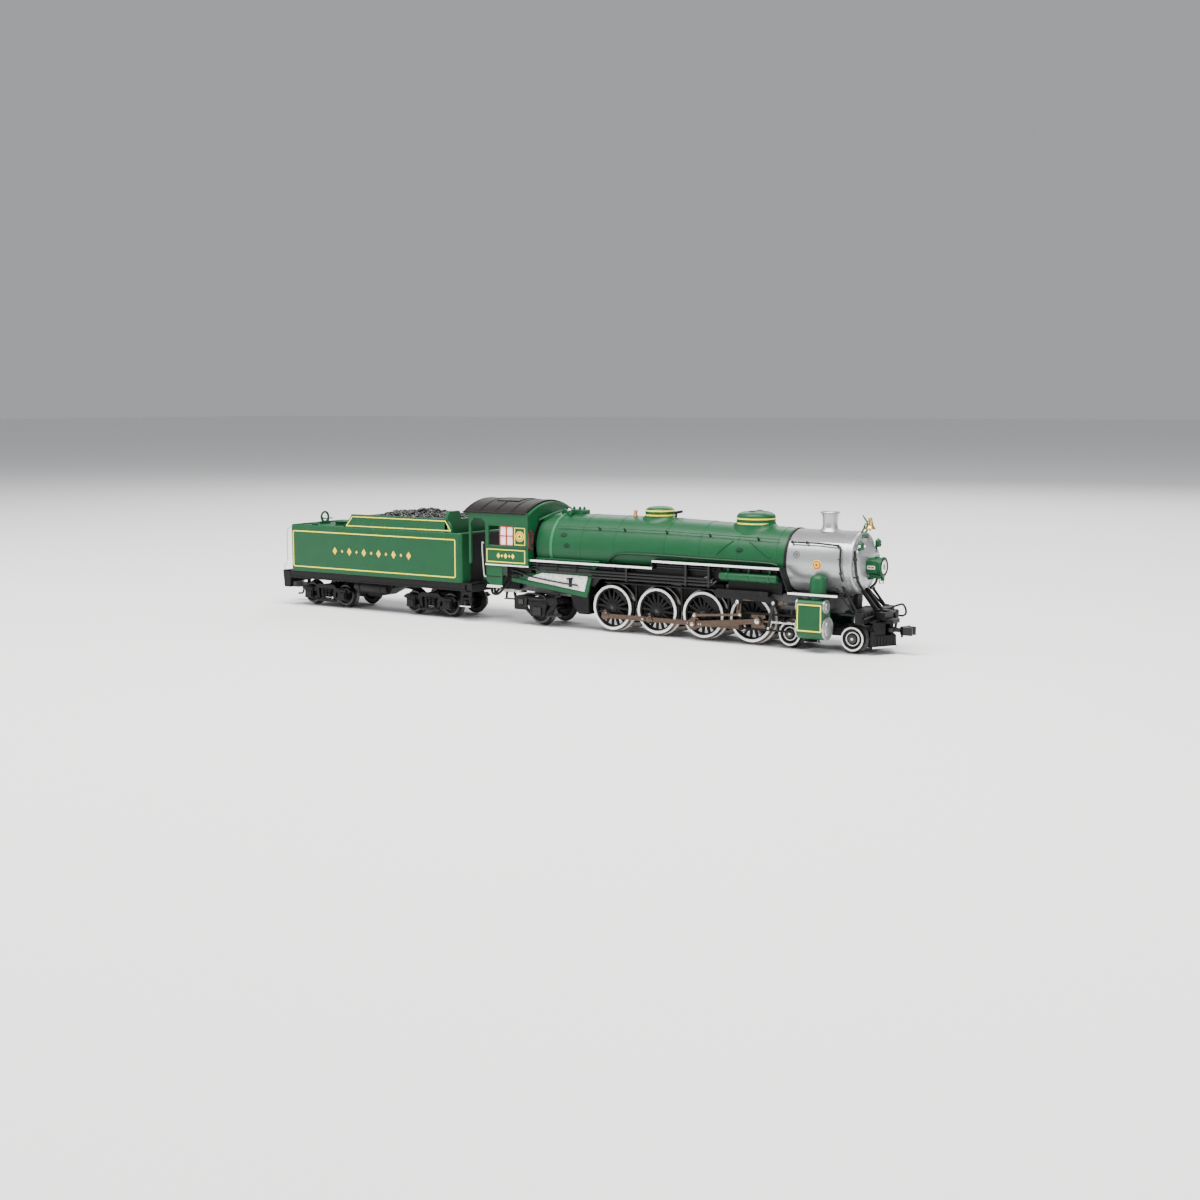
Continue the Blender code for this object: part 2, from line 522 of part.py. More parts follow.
# the nose is pointed in plan, with a foot plate below and a pocket for the coupler
pilot = join(pilot, block((61.0, 62.4), (-4.3, 4.3), (5.8, 6.4)))
pilot = join(pilot, block((61.0, 63.7), (-2.2, 2.2), (6.3, 7.9)), block((61.0, 65.2), (-1.7, 1.7), (5.6, 6.5)))
pilot = join(pilot, plate([(61.7, -4.3), (62.1, -4.3), (64.6, 0), (62.1, 4.3), (61.7, 4.3)], "z", 3.2, 5.95))
pilot = join(pilot, plate([(61.7, -5.1), (62.1, -5.1), (65.2, 0), (62.1, 5.1), (61.7, 5.1)], "z", 0.9, 3.3))
pilot = cut(pilot, rod((50, 0, 17.5), (70, 0, 17.5), 6.45, 36))
pilot = cut(pilot, block((62.5, 66.0), (-1.6, 1.6), (3.1, 5.5)))
pilot = join(pilot, rod((63.9, 0, 6.3), (63.9, 0, 3.6), 0.5, 12))
piece(pilot, "pilot", "black")


# ---------------------------------------------------------------- couplers
def coupler(x, direction, z, reach, shank):
    """A knuckle coupler on a vertical pin: shank, head and open hook."""
    d = direction
    eye = rod((x, 0, z - 0.45), (x, 0, z + 0.45), 1.1, 18)
    body = block(sorted((x, x + d * shank)), (-0.55, 0.55), (z - 0.4, z + 0.4))
    head = plate([(x + d * (shank - 0.4), -0.6), (x + d * (shank + 0.6), -1.5), (x + d * reach, -1.5), (x + d * reach, -0.9),
                  (x + d * (shank + 1.3), -0.6), (x + d * (shank + 1.3), 0.2), (x + d * reach, 0.35), (x + d * reach, 1.0),
                  (x + d * (shank + 0.4), 1.2)], "z", z - 0.85, z + 0.85)
    obj = cut(join(join(body, eye), head), rod((x, 0, z - 2), (x, 0, z + 2), 0.56, 14))
    return obj


piece(coupler(63.9, 1, 4.3, 5.1, 2.6), "front_coupler", "black", (63.9, 0, 4.3))


# ---------------------------------------------------------------- carrying wheels and trucks
def wheel_pair(r, stub):
    """Profile of two wheels on their axle; the axle's ends stand out to the given distance."""
    half = [(0, stub), (0.55, stub), (0.55, WHEEL_OUT)] if stub > WHEEL_OUT else [(0, WHEEL_OUT)]
    half += [(r, WHEEL_OUT), (r + 0.02, 4.4), (r + FLANGE, 4.15), (r + 0.45, WHEEL_IN), (0.62, WHEEL_IN)]
    return half + [(radius, -along) for radius, along in half[::-1]]


def wheelset(x, r, name):
    obj = turned((x, 0, r), (0, 1, 0), wheel_pair(r, WHEEL_OUT), 20)
    piece(obj, name, "black", (x, 0, r))


wheelset(PILOT_X[1], PILOT_R, "pilot_wheelset_front")
wheelset(PILOT_X[0], PILOT_R, "pilot_wheelset_rear")
truck = block((41.5, 59.6), (-2.9, 2.9), (3.5, 4.5))
truck = join(truck, rod((41.5, 0, 4.45), (41.5, 0, 5.5), 1.5, 16), block((47.0, 55.0), (-3.1, 3.1), (1.6, 4.4)))
for x in PILOT_X:
    truck = join(truck, block((x - 1.6, x + 1.6), (-2.9, 2.9), (1.4, 4.4)))
    truck = cut(truck, rod((x, -4, PILOT_R), (x, 4, PILOT_R), 0.7, 14))
    truck = cut(truck, block((x - 0.7, x + 0.7), (-4, 4), (0.0, PILOT_R)))
truck = cut(truck, rod((41.5, 0, 0), (41.5, 0, 8), 0.78, 14))
piece(truck, "pilot_truck_frame", "black", (41.5, 0, 4.4))

wheelset(TRAIL_X, TRAIL_R, "trailing_wheelset")
trail = block((-13.4, -11.0), (-2.2, 2.2), (4.2, 5.3))
trail = join(trail, plate([(-12.8, -2.0), (-12.8, 2.0), (-14.6, 7.0), (-26.2, 7.0), (-26.2, -7.0), (-14.6, -7.0)], "z", 5.5, 6.1))
trail = join(trail, block((-14.0, -12.6), (-2.0, 2.0), (4.2, 5.9)))
trail = cut(trail, block((-23.4, -15.8), (-5.95, 5.95), (5.0, 7.0)))
for s in (-1, 1):
    side_frame = plate([(-26.2, 6.0), (-14.6, 6.0), (-14.4, 4.9), (-16.2, 3.6), (-17.8, 1.6), (-21.4, 1.6), (-22.6, 3.4), (-26.2, 3.2)], "y", *sorted((s * 5.95, s * 6.9)))
    side_frame = cut(side_frame, rod((TRAIL_X, s * 4, TRAIL_R), (TRAIL_X, s * 6.5, TRAIL_R), 0.66, 14))
    trail = join(trail, side_frame)
trail = cut(trail, rod((-12.0, 0, 0), (-12.0, 0, 8), 0.78, 14))
piece(trail, "trailing_truck_frame", "black", (-12.0, 0, 5.0))

# ---------------------------------------------------------------- drawbar and tender
bar = block((-41.3, -29.3), (-1.0, 1.0), (6.0, 6.6))
for x in (-29.3, -41.3):
    bar = join(bar, rod((x, 0, 6.0), (x, 0, 6.6), 1.6, 18))
    bar = cut(bar, rod((x, 0, 5), (x, 0, 8), 0.68, 14))
piece(bar, "drawbar", "steel", (-29.3, 0, 6.3))

tank = plate([(-93.9, 8.37), (-93.9, 20.0), (-39.6, 20.0), (-39.6, 8.37)], "y", -9.5, 9.5)
for s in (-1, 1):
    tank = join(tank, plate([(-75.6, 19.8), (-73.4, 22.9), (-44.0, 22.9), (-42.6, 20.9), (-42.6, 19.8)], "y", *sorted((s * 9.3, s * 8.6))))
    tank = join(tank, plate([(s * 9.3, 19.8), (s * 9.3, 23.1), (s * 8.1, 24.7), (s * 4.5, 24.7), (s * 4.5, 19.8)], "x", -44.4, -43.6))
tank = join(tank, block((-73.2, -72.4), (-8.9, 8.9), (19.6, 22.4)), block((-44.4, -43.6), (-5.0, 5.0), (19.6, 22.6)))
tank = cut(tank, block((-93.1, -40.4), (-8.7, 8.7), (8.0, 18.6)))
tank = cut(tank, block((-72.3, -44.5), (-8.4, 8.4), (17.0, 21.0)))
loop = wire([(-91.0, 1.25 * math.cos(t), 21.5 + 1.25 * math.sin(t)) for t in [2 * math.pi * i / 16 for i in range(16)]], 0.3, 1, True)
tank = join(tank, loop)
piece(tank, "tender_body", "green")

floor = block((-92.9, -40.6), (-8.55, 8.55), (8.3, 9.3))
floor = join(floor, plate([(-97.3, 8.2), (-36.9, 8.2), (-36.9, 6.9), (-38.4, 6.2), (-96.0, 6.2), (-96.0, 4.3), (-97.3, 4.3)], "y", -8.9, 8.9))
floor = join(floor, block((-92.5, -41.0), (-8.4, 8.4), (8.0, 8.6)))
floor = cut(floor, block((-95.9, -38.5), (-7.6, 7.6), (5.0, 7.2)), block((-39.0, -36.0), (-4.5, 4.5), (5.0, 7.2)))
for s in (-1, 1):
    floor = join(floor, plate([(-40.0, 6.6), (-37.2, 6.6), (-37.2, 2.9), (-38.6, 2.9)], "y", *sorted((s * 8.9, s * 8.3))))
for x in TENDER_TRUCK_X:
    floor = join(floor, rod((x, 0, 7.4), (x, 0, 5.2), 0.8, 14))
floor = join(floor, rod((-41.3, 0, 7.4), (-41.3, 0, 5.7), 0.6, 12))
floor = join(floor, plate([(-76.5, 7.4), (-64.0, 7.4), (-65.5, 5.0), (-70.5, 2.6), (-74.0, 2.6)], "y", -3.4, 3.4))
floor = join(floor, rod((-97.0, 0, 6.6), (-97.0, 0, 3.4), 0.5, 12))
piece(floor, "tender_floor", "black")

coal = plate([(-71.8, 18.7), (-71.8, 21.6), (-69.0, 23.4), (-65.0, 24.4), (-61.0, 23.9), (-58.0, 25.0), (-53.0, 24.3), (-48.0, 23.6), (-44.8, 22.4), (-44.8, 18.7)], "y", -8.2, 8.2)
coal = keep(coal, plate([(-8.2, 17.0), (8.2, 17.0), (8.2, 21.8), (5.6, 23.9), (0.0, 26.0), (-5.6, 23.9), (-8.2, 21.8)], "x", -80.0, -40.0))
piece(coal, "coal_load", "coal")

for label, x in zip(("front", "rear"), TENDER_TRUCK_X):
    axles = [x + TENDER_WHEELBASE / 2, x - TENDER_WHEELBASE / 2]
    bolster = block((x - 1.8, x + 1.8), (-6.9, 6.9), (3.3, 5.0))
    for s in (-1, 1):
        truck_side = plate([(x - 8.3, 3.9), (x - 7.0, 4.6), (x + 7.0, 4.6), (x + 8.3, 3.9), (x + 8.3, 2.0), (x + 6.9, 1.4), (x + 4.4, 1.5),
                            (x + 2.4, 0.9), (x - 2.4, 0.9), (x - 4.4, 1.5), (x - 6.9, 1.4), (x - 8.3, 2.0)], "y", *sorted((s * 5.98, s * 7.2)))
        for ax in axles:
            truck_side = cut(truck_side, rod((ax, s * 4, TENDER_R), (ax, s * 6.4, TENDER_R), 0.66, 14))
        bolster = join(bolster, truck_side)
    bolster = join(bolster, rod((x, 0, 4.8), (x, 0, 7.1), 1.6, 16))
    bolster = cut(bolster, rod((x, 0, 0), (x, 0, 9), 0.9, 14))
    piece(bolster, f"tender_truck_{label}", "black", (x, 0, 4.5))
    for number, ax in enumerate(axles, 1):
        obj = turned((ax, 0, TENDER_R), (0, 1, 0), wheel_pair(TENDER_R, 6.3), 20)
        piece(obj, f"tender_wheelset_{label}_{number}", "black", (ax, 0, TENDER_R))

rear = coupler(-97.0, -1, 3.8, 5.0, 2.4)
piece(rear, "rear_coupler", "black", (-97.0, 0, 3.8))
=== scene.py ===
"""Looks of the model steam locomotive and its tender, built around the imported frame.

Positions are given in millimetres from the rearmost driving axle (x forward, y to the left,
z = 0 on the rail head), the layout that the CAD uses; at() turns them into the frame's metres.
"""

import math
import random

import bmesh
import bpy
from mathutils import Matrix, Vector, noise


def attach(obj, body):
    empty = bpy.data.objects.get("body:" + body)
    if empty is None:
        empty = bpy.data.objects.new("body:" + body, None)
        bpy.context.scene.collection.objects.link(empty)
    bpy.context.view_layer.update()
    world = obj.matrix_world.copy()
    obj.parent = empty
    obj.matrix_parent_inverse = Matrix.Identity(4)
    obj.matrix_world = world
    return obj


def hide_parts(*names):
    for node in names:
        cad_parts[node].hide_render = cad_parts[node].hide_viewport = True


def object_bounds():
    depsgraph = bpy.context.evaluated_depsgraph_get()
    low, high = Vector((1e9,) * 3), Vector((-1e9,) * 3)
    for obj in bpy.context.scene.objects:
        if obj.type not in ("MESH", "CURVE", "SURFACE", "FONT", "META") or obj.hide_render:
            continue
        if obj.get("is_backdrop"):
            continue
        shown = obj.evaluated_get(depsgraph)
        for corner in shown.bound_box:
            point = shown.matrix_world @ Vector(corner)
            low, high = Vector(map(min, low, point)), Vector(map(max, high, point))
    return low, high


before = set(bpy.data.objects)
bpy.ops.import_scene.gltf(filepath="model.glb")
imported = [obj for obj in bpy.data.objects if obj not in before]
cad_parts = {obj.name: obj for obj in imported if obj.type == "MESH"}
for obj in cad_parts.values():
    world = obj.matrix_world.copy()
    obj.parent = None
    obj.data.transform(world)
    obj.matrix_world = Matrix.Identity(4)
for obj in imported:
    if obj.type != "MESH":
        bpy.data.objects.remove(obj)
cad_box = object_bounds()
random.seed(7)

OX, OZ = 16.5, 0.6
ALONG = {"x": 0, "y": 1, "z": 2}
SIDES = (("right", -1), ("left", 1))


def at(x, y, z):
    return Vector(((x + OX) * 0.001, y * 0.001, (z + OZ) * 0.001))


# ================================================================ materials
def material(name, rgb, rough=0.4, metallic=0.0, vary=0.1, scale=350.0, grain=5000.0, bump=0.15, depth=0.00002,
             rough_vary=0.06, coat=0.0, second=None, spec=0.5, mottle=None):
    """Paint, plastic or metal: a mottled colour, uneven gloss and a fine surface grain."""
    m = bpy.data.materials.new(name)
    m.use_nodes = True
    nt = m.node_tree
    b = nt.nodes["Principled BSDF"]
    b.inputs["Metallic"].default_value = metallic
    b.inputs["Coat Weight"].default_value = coat
    b.inputs["Coat Roughness"].default_value = 0.15
    b.inputs["Specular IOR Level"].default_value = spec
    place = nt.nodes.new("ShaderNodeTexCoord")
    broad = nt.nodes.new("ShaderNodeTexNoise")
    broad.inputs["Scale"].default_value = scale
    broad.inputs["Detail"].default_value = 5.0
    broad.inputs["Roughness"].default_value = 0.6
    nt.links.new(place.outputs["Object"], broad.inputs["Vector"])
    ramp = nt.nodes.new("ShaderNodeValToRGB")
    ramp.color_ramp.elements[0].position = 0.3
    ramp.color_ramp.elements[1].position = 0.7
    low = second or [c * (1 - vary) for c in rgb]
    high = [min(1.0, c * (1 + vary)) for c in rgb]
    ramp.color_ramp.elements[0].color = (*low, 1)
    ramp.color_ramp.elements[1].color = (*high, 1)
    nt.links.new(broad.outputs["Fac"], ramp.inputs["Fac"])
    colour = ramp.outputs["Color"]
    if mottle:
        speck = nt.nodes.new("ShaderNodeTexNoise")
        speck.inputs["Scale"].default_value = mottle[1]
        speck.inputs["Detail"].default_value = 3.0
        nt.links.new(place.outputs["Object"], speck.inputs["Vector"])
        cut = nt.nodes.new("ShaderNodeMapRange")
        cut.inputs["From Min"].default_value = mottle[2]
        cut.inputs["From Max"].default_value = mottle[2] + 0.12
        nt.links.new(speck.outputs["Fac"], cut.inputs["Value"])
        mix = nt.nodes.new("ShaderNodeMix")
        mix.data_type = "RGBA"
        mix.inputs[7].default_value = (*mottle[0], 1)
        nt.links.new(cut.outputs["Result"], mix.inputs[0])
        nt.links.new(colour, mix.inputs[6])
        colour = mix.outputs[2]
    nt.links.new(colour, b.inputs["Base Color"])
    fine = nt.nodes.new("ShaderNodeTexNoise")
    fine.inputs["Scale"].default_value = grain
    fine.inputs["Detail"].default_value = 4.0
    nt.links.new(place.outputs["Object"], fine.inputs["Vector"])
    gloss = nt.nodes.new("ShaderNodeMapRange")
    gloss.inputs["To Min"].default_value = max(0.02, rough - rough_vary)
    gloss.inputs["To Max"].default_value = min(1.0, rough + rough_vary)
    nt.links.new(fine.outputs["Fac"], gloss.inputs["Value"])
    nt.links.new(gloss.outputs["Result"], b.inputs["Roughness"])
    bumped = nt.nodes.new("ShaderNodeBump")
    bumped.inputs["Strength"].default_value = bump
    bumped.inputs["Distance"].default_value = depth
    nt.links.new(fine.outputs["Fac"], bumped.inputs["Height"])
    nt.links.new(bumped.outputs["Normal"], b.inputs["Normal"])
    return m


GREEN = material("green_paint", (0.0045, 0.066, 0.0225), 0.40, vary=0.07, bump=0.12, spec=0.27, grain=4200)
# a darker copy of the green paint: painted shade, used on the pads round the plugs and on the injector pipe
GREEN_PAINTED_SHADE = material("green_paint_painted_shade", (0.0022, 0.030, 0.010), 0.45, vary=0.1, spec=0.3)
# a lighter copy of the green paint: a painted highlight, used on the band in front of the cab
GREEN_PAINTED_HIGHLIGHT = material("green_paint_painted_highlight", (0.020, 0.14, 0.055), 0.36, vary=0.07, spec=0.35)
YELLOW = material("yellow_lining", (0.93, 0.84, 0.035), 0.45, vary=0.05, grain=7000)
GOLD = material("gold_ornament", (0.88, 0.60, 0.03), 0.4, vary=0.08, grain=7000)
WHITE = material("white_paint", (0.93, 0.93, 0.91), 0.42, vary=0.03, grain=6000)
BLACK = material("black_plastic", (0.0048, 0.0048, 0.005), 0.5, vary=0.25, bump=0.2, grain=5200, spec=0.22)
BLACK_SATIN = material("black_satin", (0.0045, 0.0045, 0.005), 0.34, vary=0.2, bump=0.12, grain=6500, spec=0.36)
ROOF = material("roof_paint", (0.0055, 0.0038, 0.003), 0.5, vary=0.25, bump=0.25, grain=5200, spec=0.2)
SILVER = material("silver_paint", (0.40, 0.41, 0.42), 0.33, metallic=0.65, vary=0.06, scale=900, grain=9000, bump=0.25)
GRAPHITE = material("graphite_paint", (0.155, 0.155, 0.16), 0.5, metallic=0.35, vary=0.1, scale=900, grain=9000, bump=0.25)
ROD = material("rod_bronze", (0.085, 0.054, 0.038), 0.38, metallic=0.55, vary=0.2, scale=1200, grain=9000, bump=0.2)
STEEL = material("bright_steel", (0.60, 0.59, 0.57), 0.25, metallic=1.0, vary=0.06, scale=2000, grain=9000)
WHEEL_METAL = material("blackened_steel", (0.05, 0.048, 0.046), 0.38, metallic=0.7, vary=0.2, scale=1500, grain=8000)
TREAD = material("wheel_tread", (0.30, 0.28, 0.26), 0.3, metallic=1.0, vary=0.1, scale=1500, grain=9000)
BRASS = material("brass", (0.72, 0.48, 0.17), 0.28, metallic=1.0, vary=0.1, scale=1800, grain=9000)
COPPER = material("copper_wire", (0.62, 0.28, 0.14), 0.3, metallic=1.0, vary=0.1, scale=1500)
WIRE = material("pale_wire", (0.62, 0.62, 0.60), 0.35, metallic=0.6, vary=0.05)
RED = material("red_sash", (0.42, 0.012, 0.010), 0.4, vary=0.08)
BROWN = material("brown_frame", (0.11, 0.022, 0.014), 0.45, vary=0.12)
COAL = material("coal", (0.0018, 0.0018, 0.002), 0.34, vary=0.5, scale=1600, grain=3500, bump=0.8, depth=0.00012, rough_vary=0.2)
DIECAST = material("die_cast", (0.10, 0.10, 0.105), 0.45, metallic=0.6, vary=0.15, scale=900)
STAYBOLT = material("white_sheet", (0.78, 0.78, 0.76), 0.5, vary=0.08, scale=1400, grain=6500, bump=0.3, mottle=((0.22, 0.22, 0.22), 2600, 0.56))
INTERIOR = material("cab_interior", (0.010, 0.012, 0.011), 0.6, vary=0.2)
LENS = material("lens_white", (0.90, 0.90, 0.87), 0.12, vary=0.03, coat=0.6, bump=0.03)
GLASS = material("window_pane", (0.035, 0.045, 0.05), 0.08, vary=0.2, bump=0.02, coat=0.5)
GREY = material("grey_metal", (0.13, 0.13, 0.125), 0.42, metallic=0.5, vary=0.12, scale=1500)


# ================================================================ shapes
class Shape:
    """Collects closed forms, in millimetres, into one piece."""

    def __init__(self):
        self.bm = bmesh.new()
        self.mats = []
        self.mi = 0

    def use(self, m):
        if m not in self.mats:
            self.mats.append(m)
        self.mi = self.mats.index(m)
        return self

    def faces(self, made):
        for f in made:
            f.material_index = self.mi

    def verts(self, points):
        return [self.bm.verts.new(p) for p in points]

    def shell(self, rings, closed=True, loop=False):
        """Skin over rings of points; closed caps the first and last, loop joins them."""
        made = []
        rows = [self.verts(r) for r in rings]
        pairs = list(zip(rows, rows[1:]))
        if loop:
            pairs.append((rows[-1], rows[0]))
        for a, b in pairs:
            n = len(a)
            for i in range(n):
                made.append(self.bm.faces.new((a[i], a[(i + 1) % n], b[(i + 1) % n], b[i])))
        if closed and not loop:
            made.append(self.bm.faces.new(rows[0][::-1]))
            made.append(self.bm.faces.new(rows[-1]))
        self.faces(made)
        return self

    def box(self, x, y, z):
        (x0, x1), (y0, y1), (z0, z1) = sorted(x), sorted(y), sorted(z)
        return self.shell([[(x0, y0, c), (x1, y0, c), (x1, y1, c), (x0, y1, c)] for c in (z0, z1)])

    def prism(self, outline, axis, lo, hi):
        def lift(u, v, w):
            return {"x": (w, u, v), "y": (u, w, v), "z": (u, v, w)}[axis]
        return self.shell([[lift(u, v, w) for u, v in outline] for w in (lo, hi)])

    def tube(self, points, r, sides=8, closed=False):
        pts = [Vector(p) for p in points]
        n = len(pts)
        rings = []
        up = None
        for i, p in enumerate(pts):
            before = pts[i - 1] if (i or closed) else pts[i]
            after = pts[(i + 1) % n] if (i < n - 1 or closed) else pts[i]
            d = (after - before).normalized()
            if up is None:
                up = d.orthogonal().normalized()
            up = (up - d * up.dot(d)).normalized()
            side = d.cross(up)
            rr = r[i] if isinstance(r, (list, tuple)) else r
            bend = 1.0
            if 0 < i < n - 1 or closed:
                a, b = (p - before).normalized(), (after - p).normalized()
                bend = 1.0 / max(0.5, math.sqrt(max(0.05, (1 + a.dot(b)) / 2)))
            rings.append([p + (up * math.cos(t) + side * math.sin(t)) * rr * min(bend, 1.3) for t in [2 * math.pi * k / sides for k in range(sides)]])
        if closed:
            # the frame may have turned on the way round, so match the start of the first ring
            first, last = rings[0], rings[-1]
            shift = min(range(sides), key=lambda s: (last[0] - first[s]).length)
            rings[0] = first[shift:] + first[:shift]
            rows = rings
            return self.shell([[tuple(q) for q in row] for row in rows], loop=True)
        return self.shell([[tuple(q) for q in row] for row in rings])

    def cyl(self, a, b, r, sides=20, r2=None):
        return self.tube([a, b], [r, r if r2 is None else r2], sides)

    def turn(self, centre, axis, profile, sides=40, closed=False):
        """A turned form: profile pairs (radius, distance along the axis), ending on the axis unless closed."""
        q = Vector(axis).to_track_quat("Z", "Y")
        c = Vector(centre)
        rows, made = [], []
        for r, h in profile:
            if r < 1e-6:
                rows.append([self.bm.verts.new(c + q @ Vector((0, 0, h)))])
            else:
                rows.append([self.bm.verts.new(c + q @ Vector((r * math.cos(t), r * math.sin(t), h))) for t in [2 * math.pi * k / sides for k in range(sides)]])
        pairs = list(zip(rows, rows[1:]))
        if closed:
            pairs.append((rows[-1], rows[0]))
        for a, b in pairs:
            for i in range(sides):
                j = (i + 1) % sides
                if len(a) == 1 and len(b) == 1:
                    break
                if len(a) == 1:
                    made.append(self.bm.faces.new((a[0], b[j], b[i])))
                elif len(b) == 1:
                    made.append(self.bm.faces.new((a[i], a[j], b[0])))
                else:
                    made.append(self.bm.faces.new((a[i], a[j], b[j], b[i])))
        self.faces(made)
        return self

    def ball(self, c, r, sides=14, flat=1.0, axis=(0, 0, 1)):
        k = max(4, sides // 2)
        prof = [(r * math.sin(math.pi * i / k), -r * flat * math.cos(math.pi * i / k)) for i in range(k + 1)]
        prof[0], prof[-1] = (0, prof[0][1]), (0, prof[-1][1])
        return self.turn(c, axis, prof, sides)

    def ring(self, c, axis, R, r, sides=32, tube=8):
        prof = [(R + r * math.cos(2 * math.pi * i / tube), r * math.sin(2 * math.pi * i / tube)) for i in range(tube)]
        return self.turn(c, axis, prof, sides, closed=True)

    def dome_bolt(self, p, axis, r, h=None, sides=8):
        h = h or r * 0.7
        return self.turn(p, axis, [(0, -0.05), (r, -0.05), (r, h * 0.35), (r * 0.72, h * 0.85), (0, h)], sides)

    def done(self, name, body, replaces=(), bevel=0.0, segments=2, slot=None, angle=32.0, smooth=True):
        bmesh.ops.recalc_face_normals(self.bm, faces=self.bm.faces)
        mesh = bpy.data.meshes.new(name)
        self.bm.to_mesh(mesh)
        self.bm.free()
        mesh.transform(Matrix.Scale(0.001, 4) @ Matrix.Translation((OX, 0, OZ)))
        for m in self.mats:
            mesh.materials.append(m)
        obj = bpy.data.objects.new(name, mesh)
        bpy.context.scene.collection.objects.link(obj)
        if smooth:
            mesh.shade_smooth()
        if bevel:
            mod = obj.modifiers.new("edges", "BEVEL")
            mod.width = bevel * 0.001
            mod.segments = segments
            mod.limit_method = "ANGLE"
            mod.angle_limit = math.radians(angle)
            mod.harden_normals = True
            mod.use_clamp_overlap = True
        elif smooth:
            mesh.set_sharp_from_angle(angle=math.radians(angle))
        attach(obj, body)
        if replaces:
            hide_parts(*replaces)
        return obj


def arc(cx, cy, r, start, end, steps):
    return [(cx + r * math.cos(math.radians(start + (end - start) * i / steps)),
             cy + r * math.sin(math.radians(start + (end - start) * i / steps))) for i in range(steps + 1)]


def rounded(x0, x1, z0, z1, r, steps=5):
    """A rectangle outline with round corners."""
    return (arc(x1 - r, z0 + r, r, -90, 0, steps) + arc(x1 - r, z1 - r, r, 0, 90, steps)
            + arc(x0 + r, z1 - r, r, 90, 180, steps) + arc(x0 + r, z0 + r, r, 180, 270, steps))


def smooth_path(points, per=6):
    """Points along a Catmull-Rom curve through the given ones."""
    p = [Vector(q) for q in points]
    p = [p[0] * 2 - p[1]] + p + [p[-1] * 2 - p[-2]]
    out = []
    for i in range(1, len(p) - 2):
        for k in range(per):
            t = k / per
            out.append(0.5 * ((2 * p[i]) + (p[i + 1] - p[i - 1]) * t + (2 * p[i - 1] - 5 * p[i] + 4 * p[i + 1] - p[i + 2]) * t * t
                              + (3 * p[i] - p[i - 1] - 3 * p[i + 1] + p[i + 2]) * t ** 3))
    out.append(p[-2])
    return out


def crank(deg, x, z, r=2.4):
    return (x + r * math.cos(math.radians(deg)), z + r * math.sin(math.radians(deg)))


def strip(sh, pts, y, w, t, closed=True):
    """Painted lining: a thin flat line of width w along an outline on a side at y, standing t proud."""
    s = 1 if y > 0 else -1
    n = len(pts)
    area = sum(pts[i][0] * pts[(i + 1) % n][1] - pts[(i + 1) % n][0] * pts[i][1] for i in range(n))
    sign = 1 if area > 0 else -1
    inner, outer = [], []
    for i in range(n):
        a, b, c = Vector(pts[i - 1]), Vector(pts[i]), Vector(pts[(i + 1) % n])
        d0, d1 = (b - a).normalized(), (c - b).normalized()
        n0, n1 = Vector((-d0.y, d0.x)), Vector((-d1.y, d1.x))
        m = (n0 + n1)
        m = m / max(0.3, m.dot(n0))
        inner.append(b + m * (w / 2) * sign)
        outer.append(b - m * (w / 2) * sign)
    y0, y1 = y - s * 0.03, y + s * t
    rings = [[(p.x, yy, p.y) for p in ring] for ring, yy in ((outer, y0), (outer, y1), (inner, y1), (inner, y0))]
    rows = [sh.verts(r) for r in rings]
    made = []
    for a, b in zip(rows, rows[1:] + rows[:1]):
        for i in range(n):
            made.append(sh.bm.faces.new((a[i], a[(i + 1) % n], b[(i + 1) % n], b[i])))
    sh.faces(made)


def flat_shape(sh, outline, y, t):
    s = 1 if y > 0 else -1
    sh.prism(outline, "y", *sorted((y - s * 0.03, y + s * t)))


# ================================================================ boiler
BARREL = [(-19.4, 17.6, 7.5), (-15.4, 17.6, 7.5), (1.0, 17.68, 7.46), (14.0, 17.65, 7.42), (42.9, 17.5, 6.62)]


def barrel_at(x):
    """Centre height and radius of the boiler at x."""
    for (x0, z0, r0), (x1, z1, r1) in zip(BARREL, BARREL[1:]):
        if x <= x1:
            t = (x - x0) / (x1 - x0)
            return z0 + (z1 - z0) * t, r0 + (r1 - r0) * t
    return BARREL[-1][1], BARREL[-1][2]


def on_barrel(x, deg, off=0.0):
    """A point on the boiler: deg from the top, positive to the left."""
    z, r = barrel_at(x)
    t = math.radians(deg)
    return (x, (r + off) * math.sin(t), z + (r + off) * math.cos(t))


def radial(deg):
    t = math.radians(deg)
    return (0, math.sin(t), math.cos(t))


sh = Shape().use(GREEN)
rings, inner = [], []
for x, z, r in BARREL:
    rings.append([(x, r * math.sin(math.radians(a)), z + r * math.cos(math.radians(a))) for a in range(-142, 143, 4)])
# outer skin, then the same line a wall inside, joined along the slot under the barrel
loops = []
for i, (x, z, r) in enumerate(BARREL):
    outer = rings[i]
    back = [(x, (r - 0.8) * math.sin(math.radians(a)), z + (r - 0.8) * math.cos(math.radians(a))) for a in range(142, -143, -4)]
    loops.append(outer + back)
sh.shell(loops)
# the barrel below the walkways is given the black plastic: painted shade under the walkways
sh.use(BLACK)
for f in sh.bm.faces:
    c = f.calc_center_median()
    if c.x > -3.0 and c.z < 15.3 - 0.01 * c.x:
        f.material_index = sh.mats.index(BLACK)
sh.use(GREEN)
for s in (-1, 1):
    outline = [(-25.9, 11.6), (-25.9, 9.6), (-5.4, 7.4), (-4.3, 11.6), (-2.0, 15.3), (-19.3, 15.3), (-19.3, 11.6)]
    sh.prism(outline, "y", *sorted((s * 7.85, s * 7.0)))
sh.done("boiler_barrel", "chassis", replaces=["boiler_shell"], bevel=0.12, slot="green")
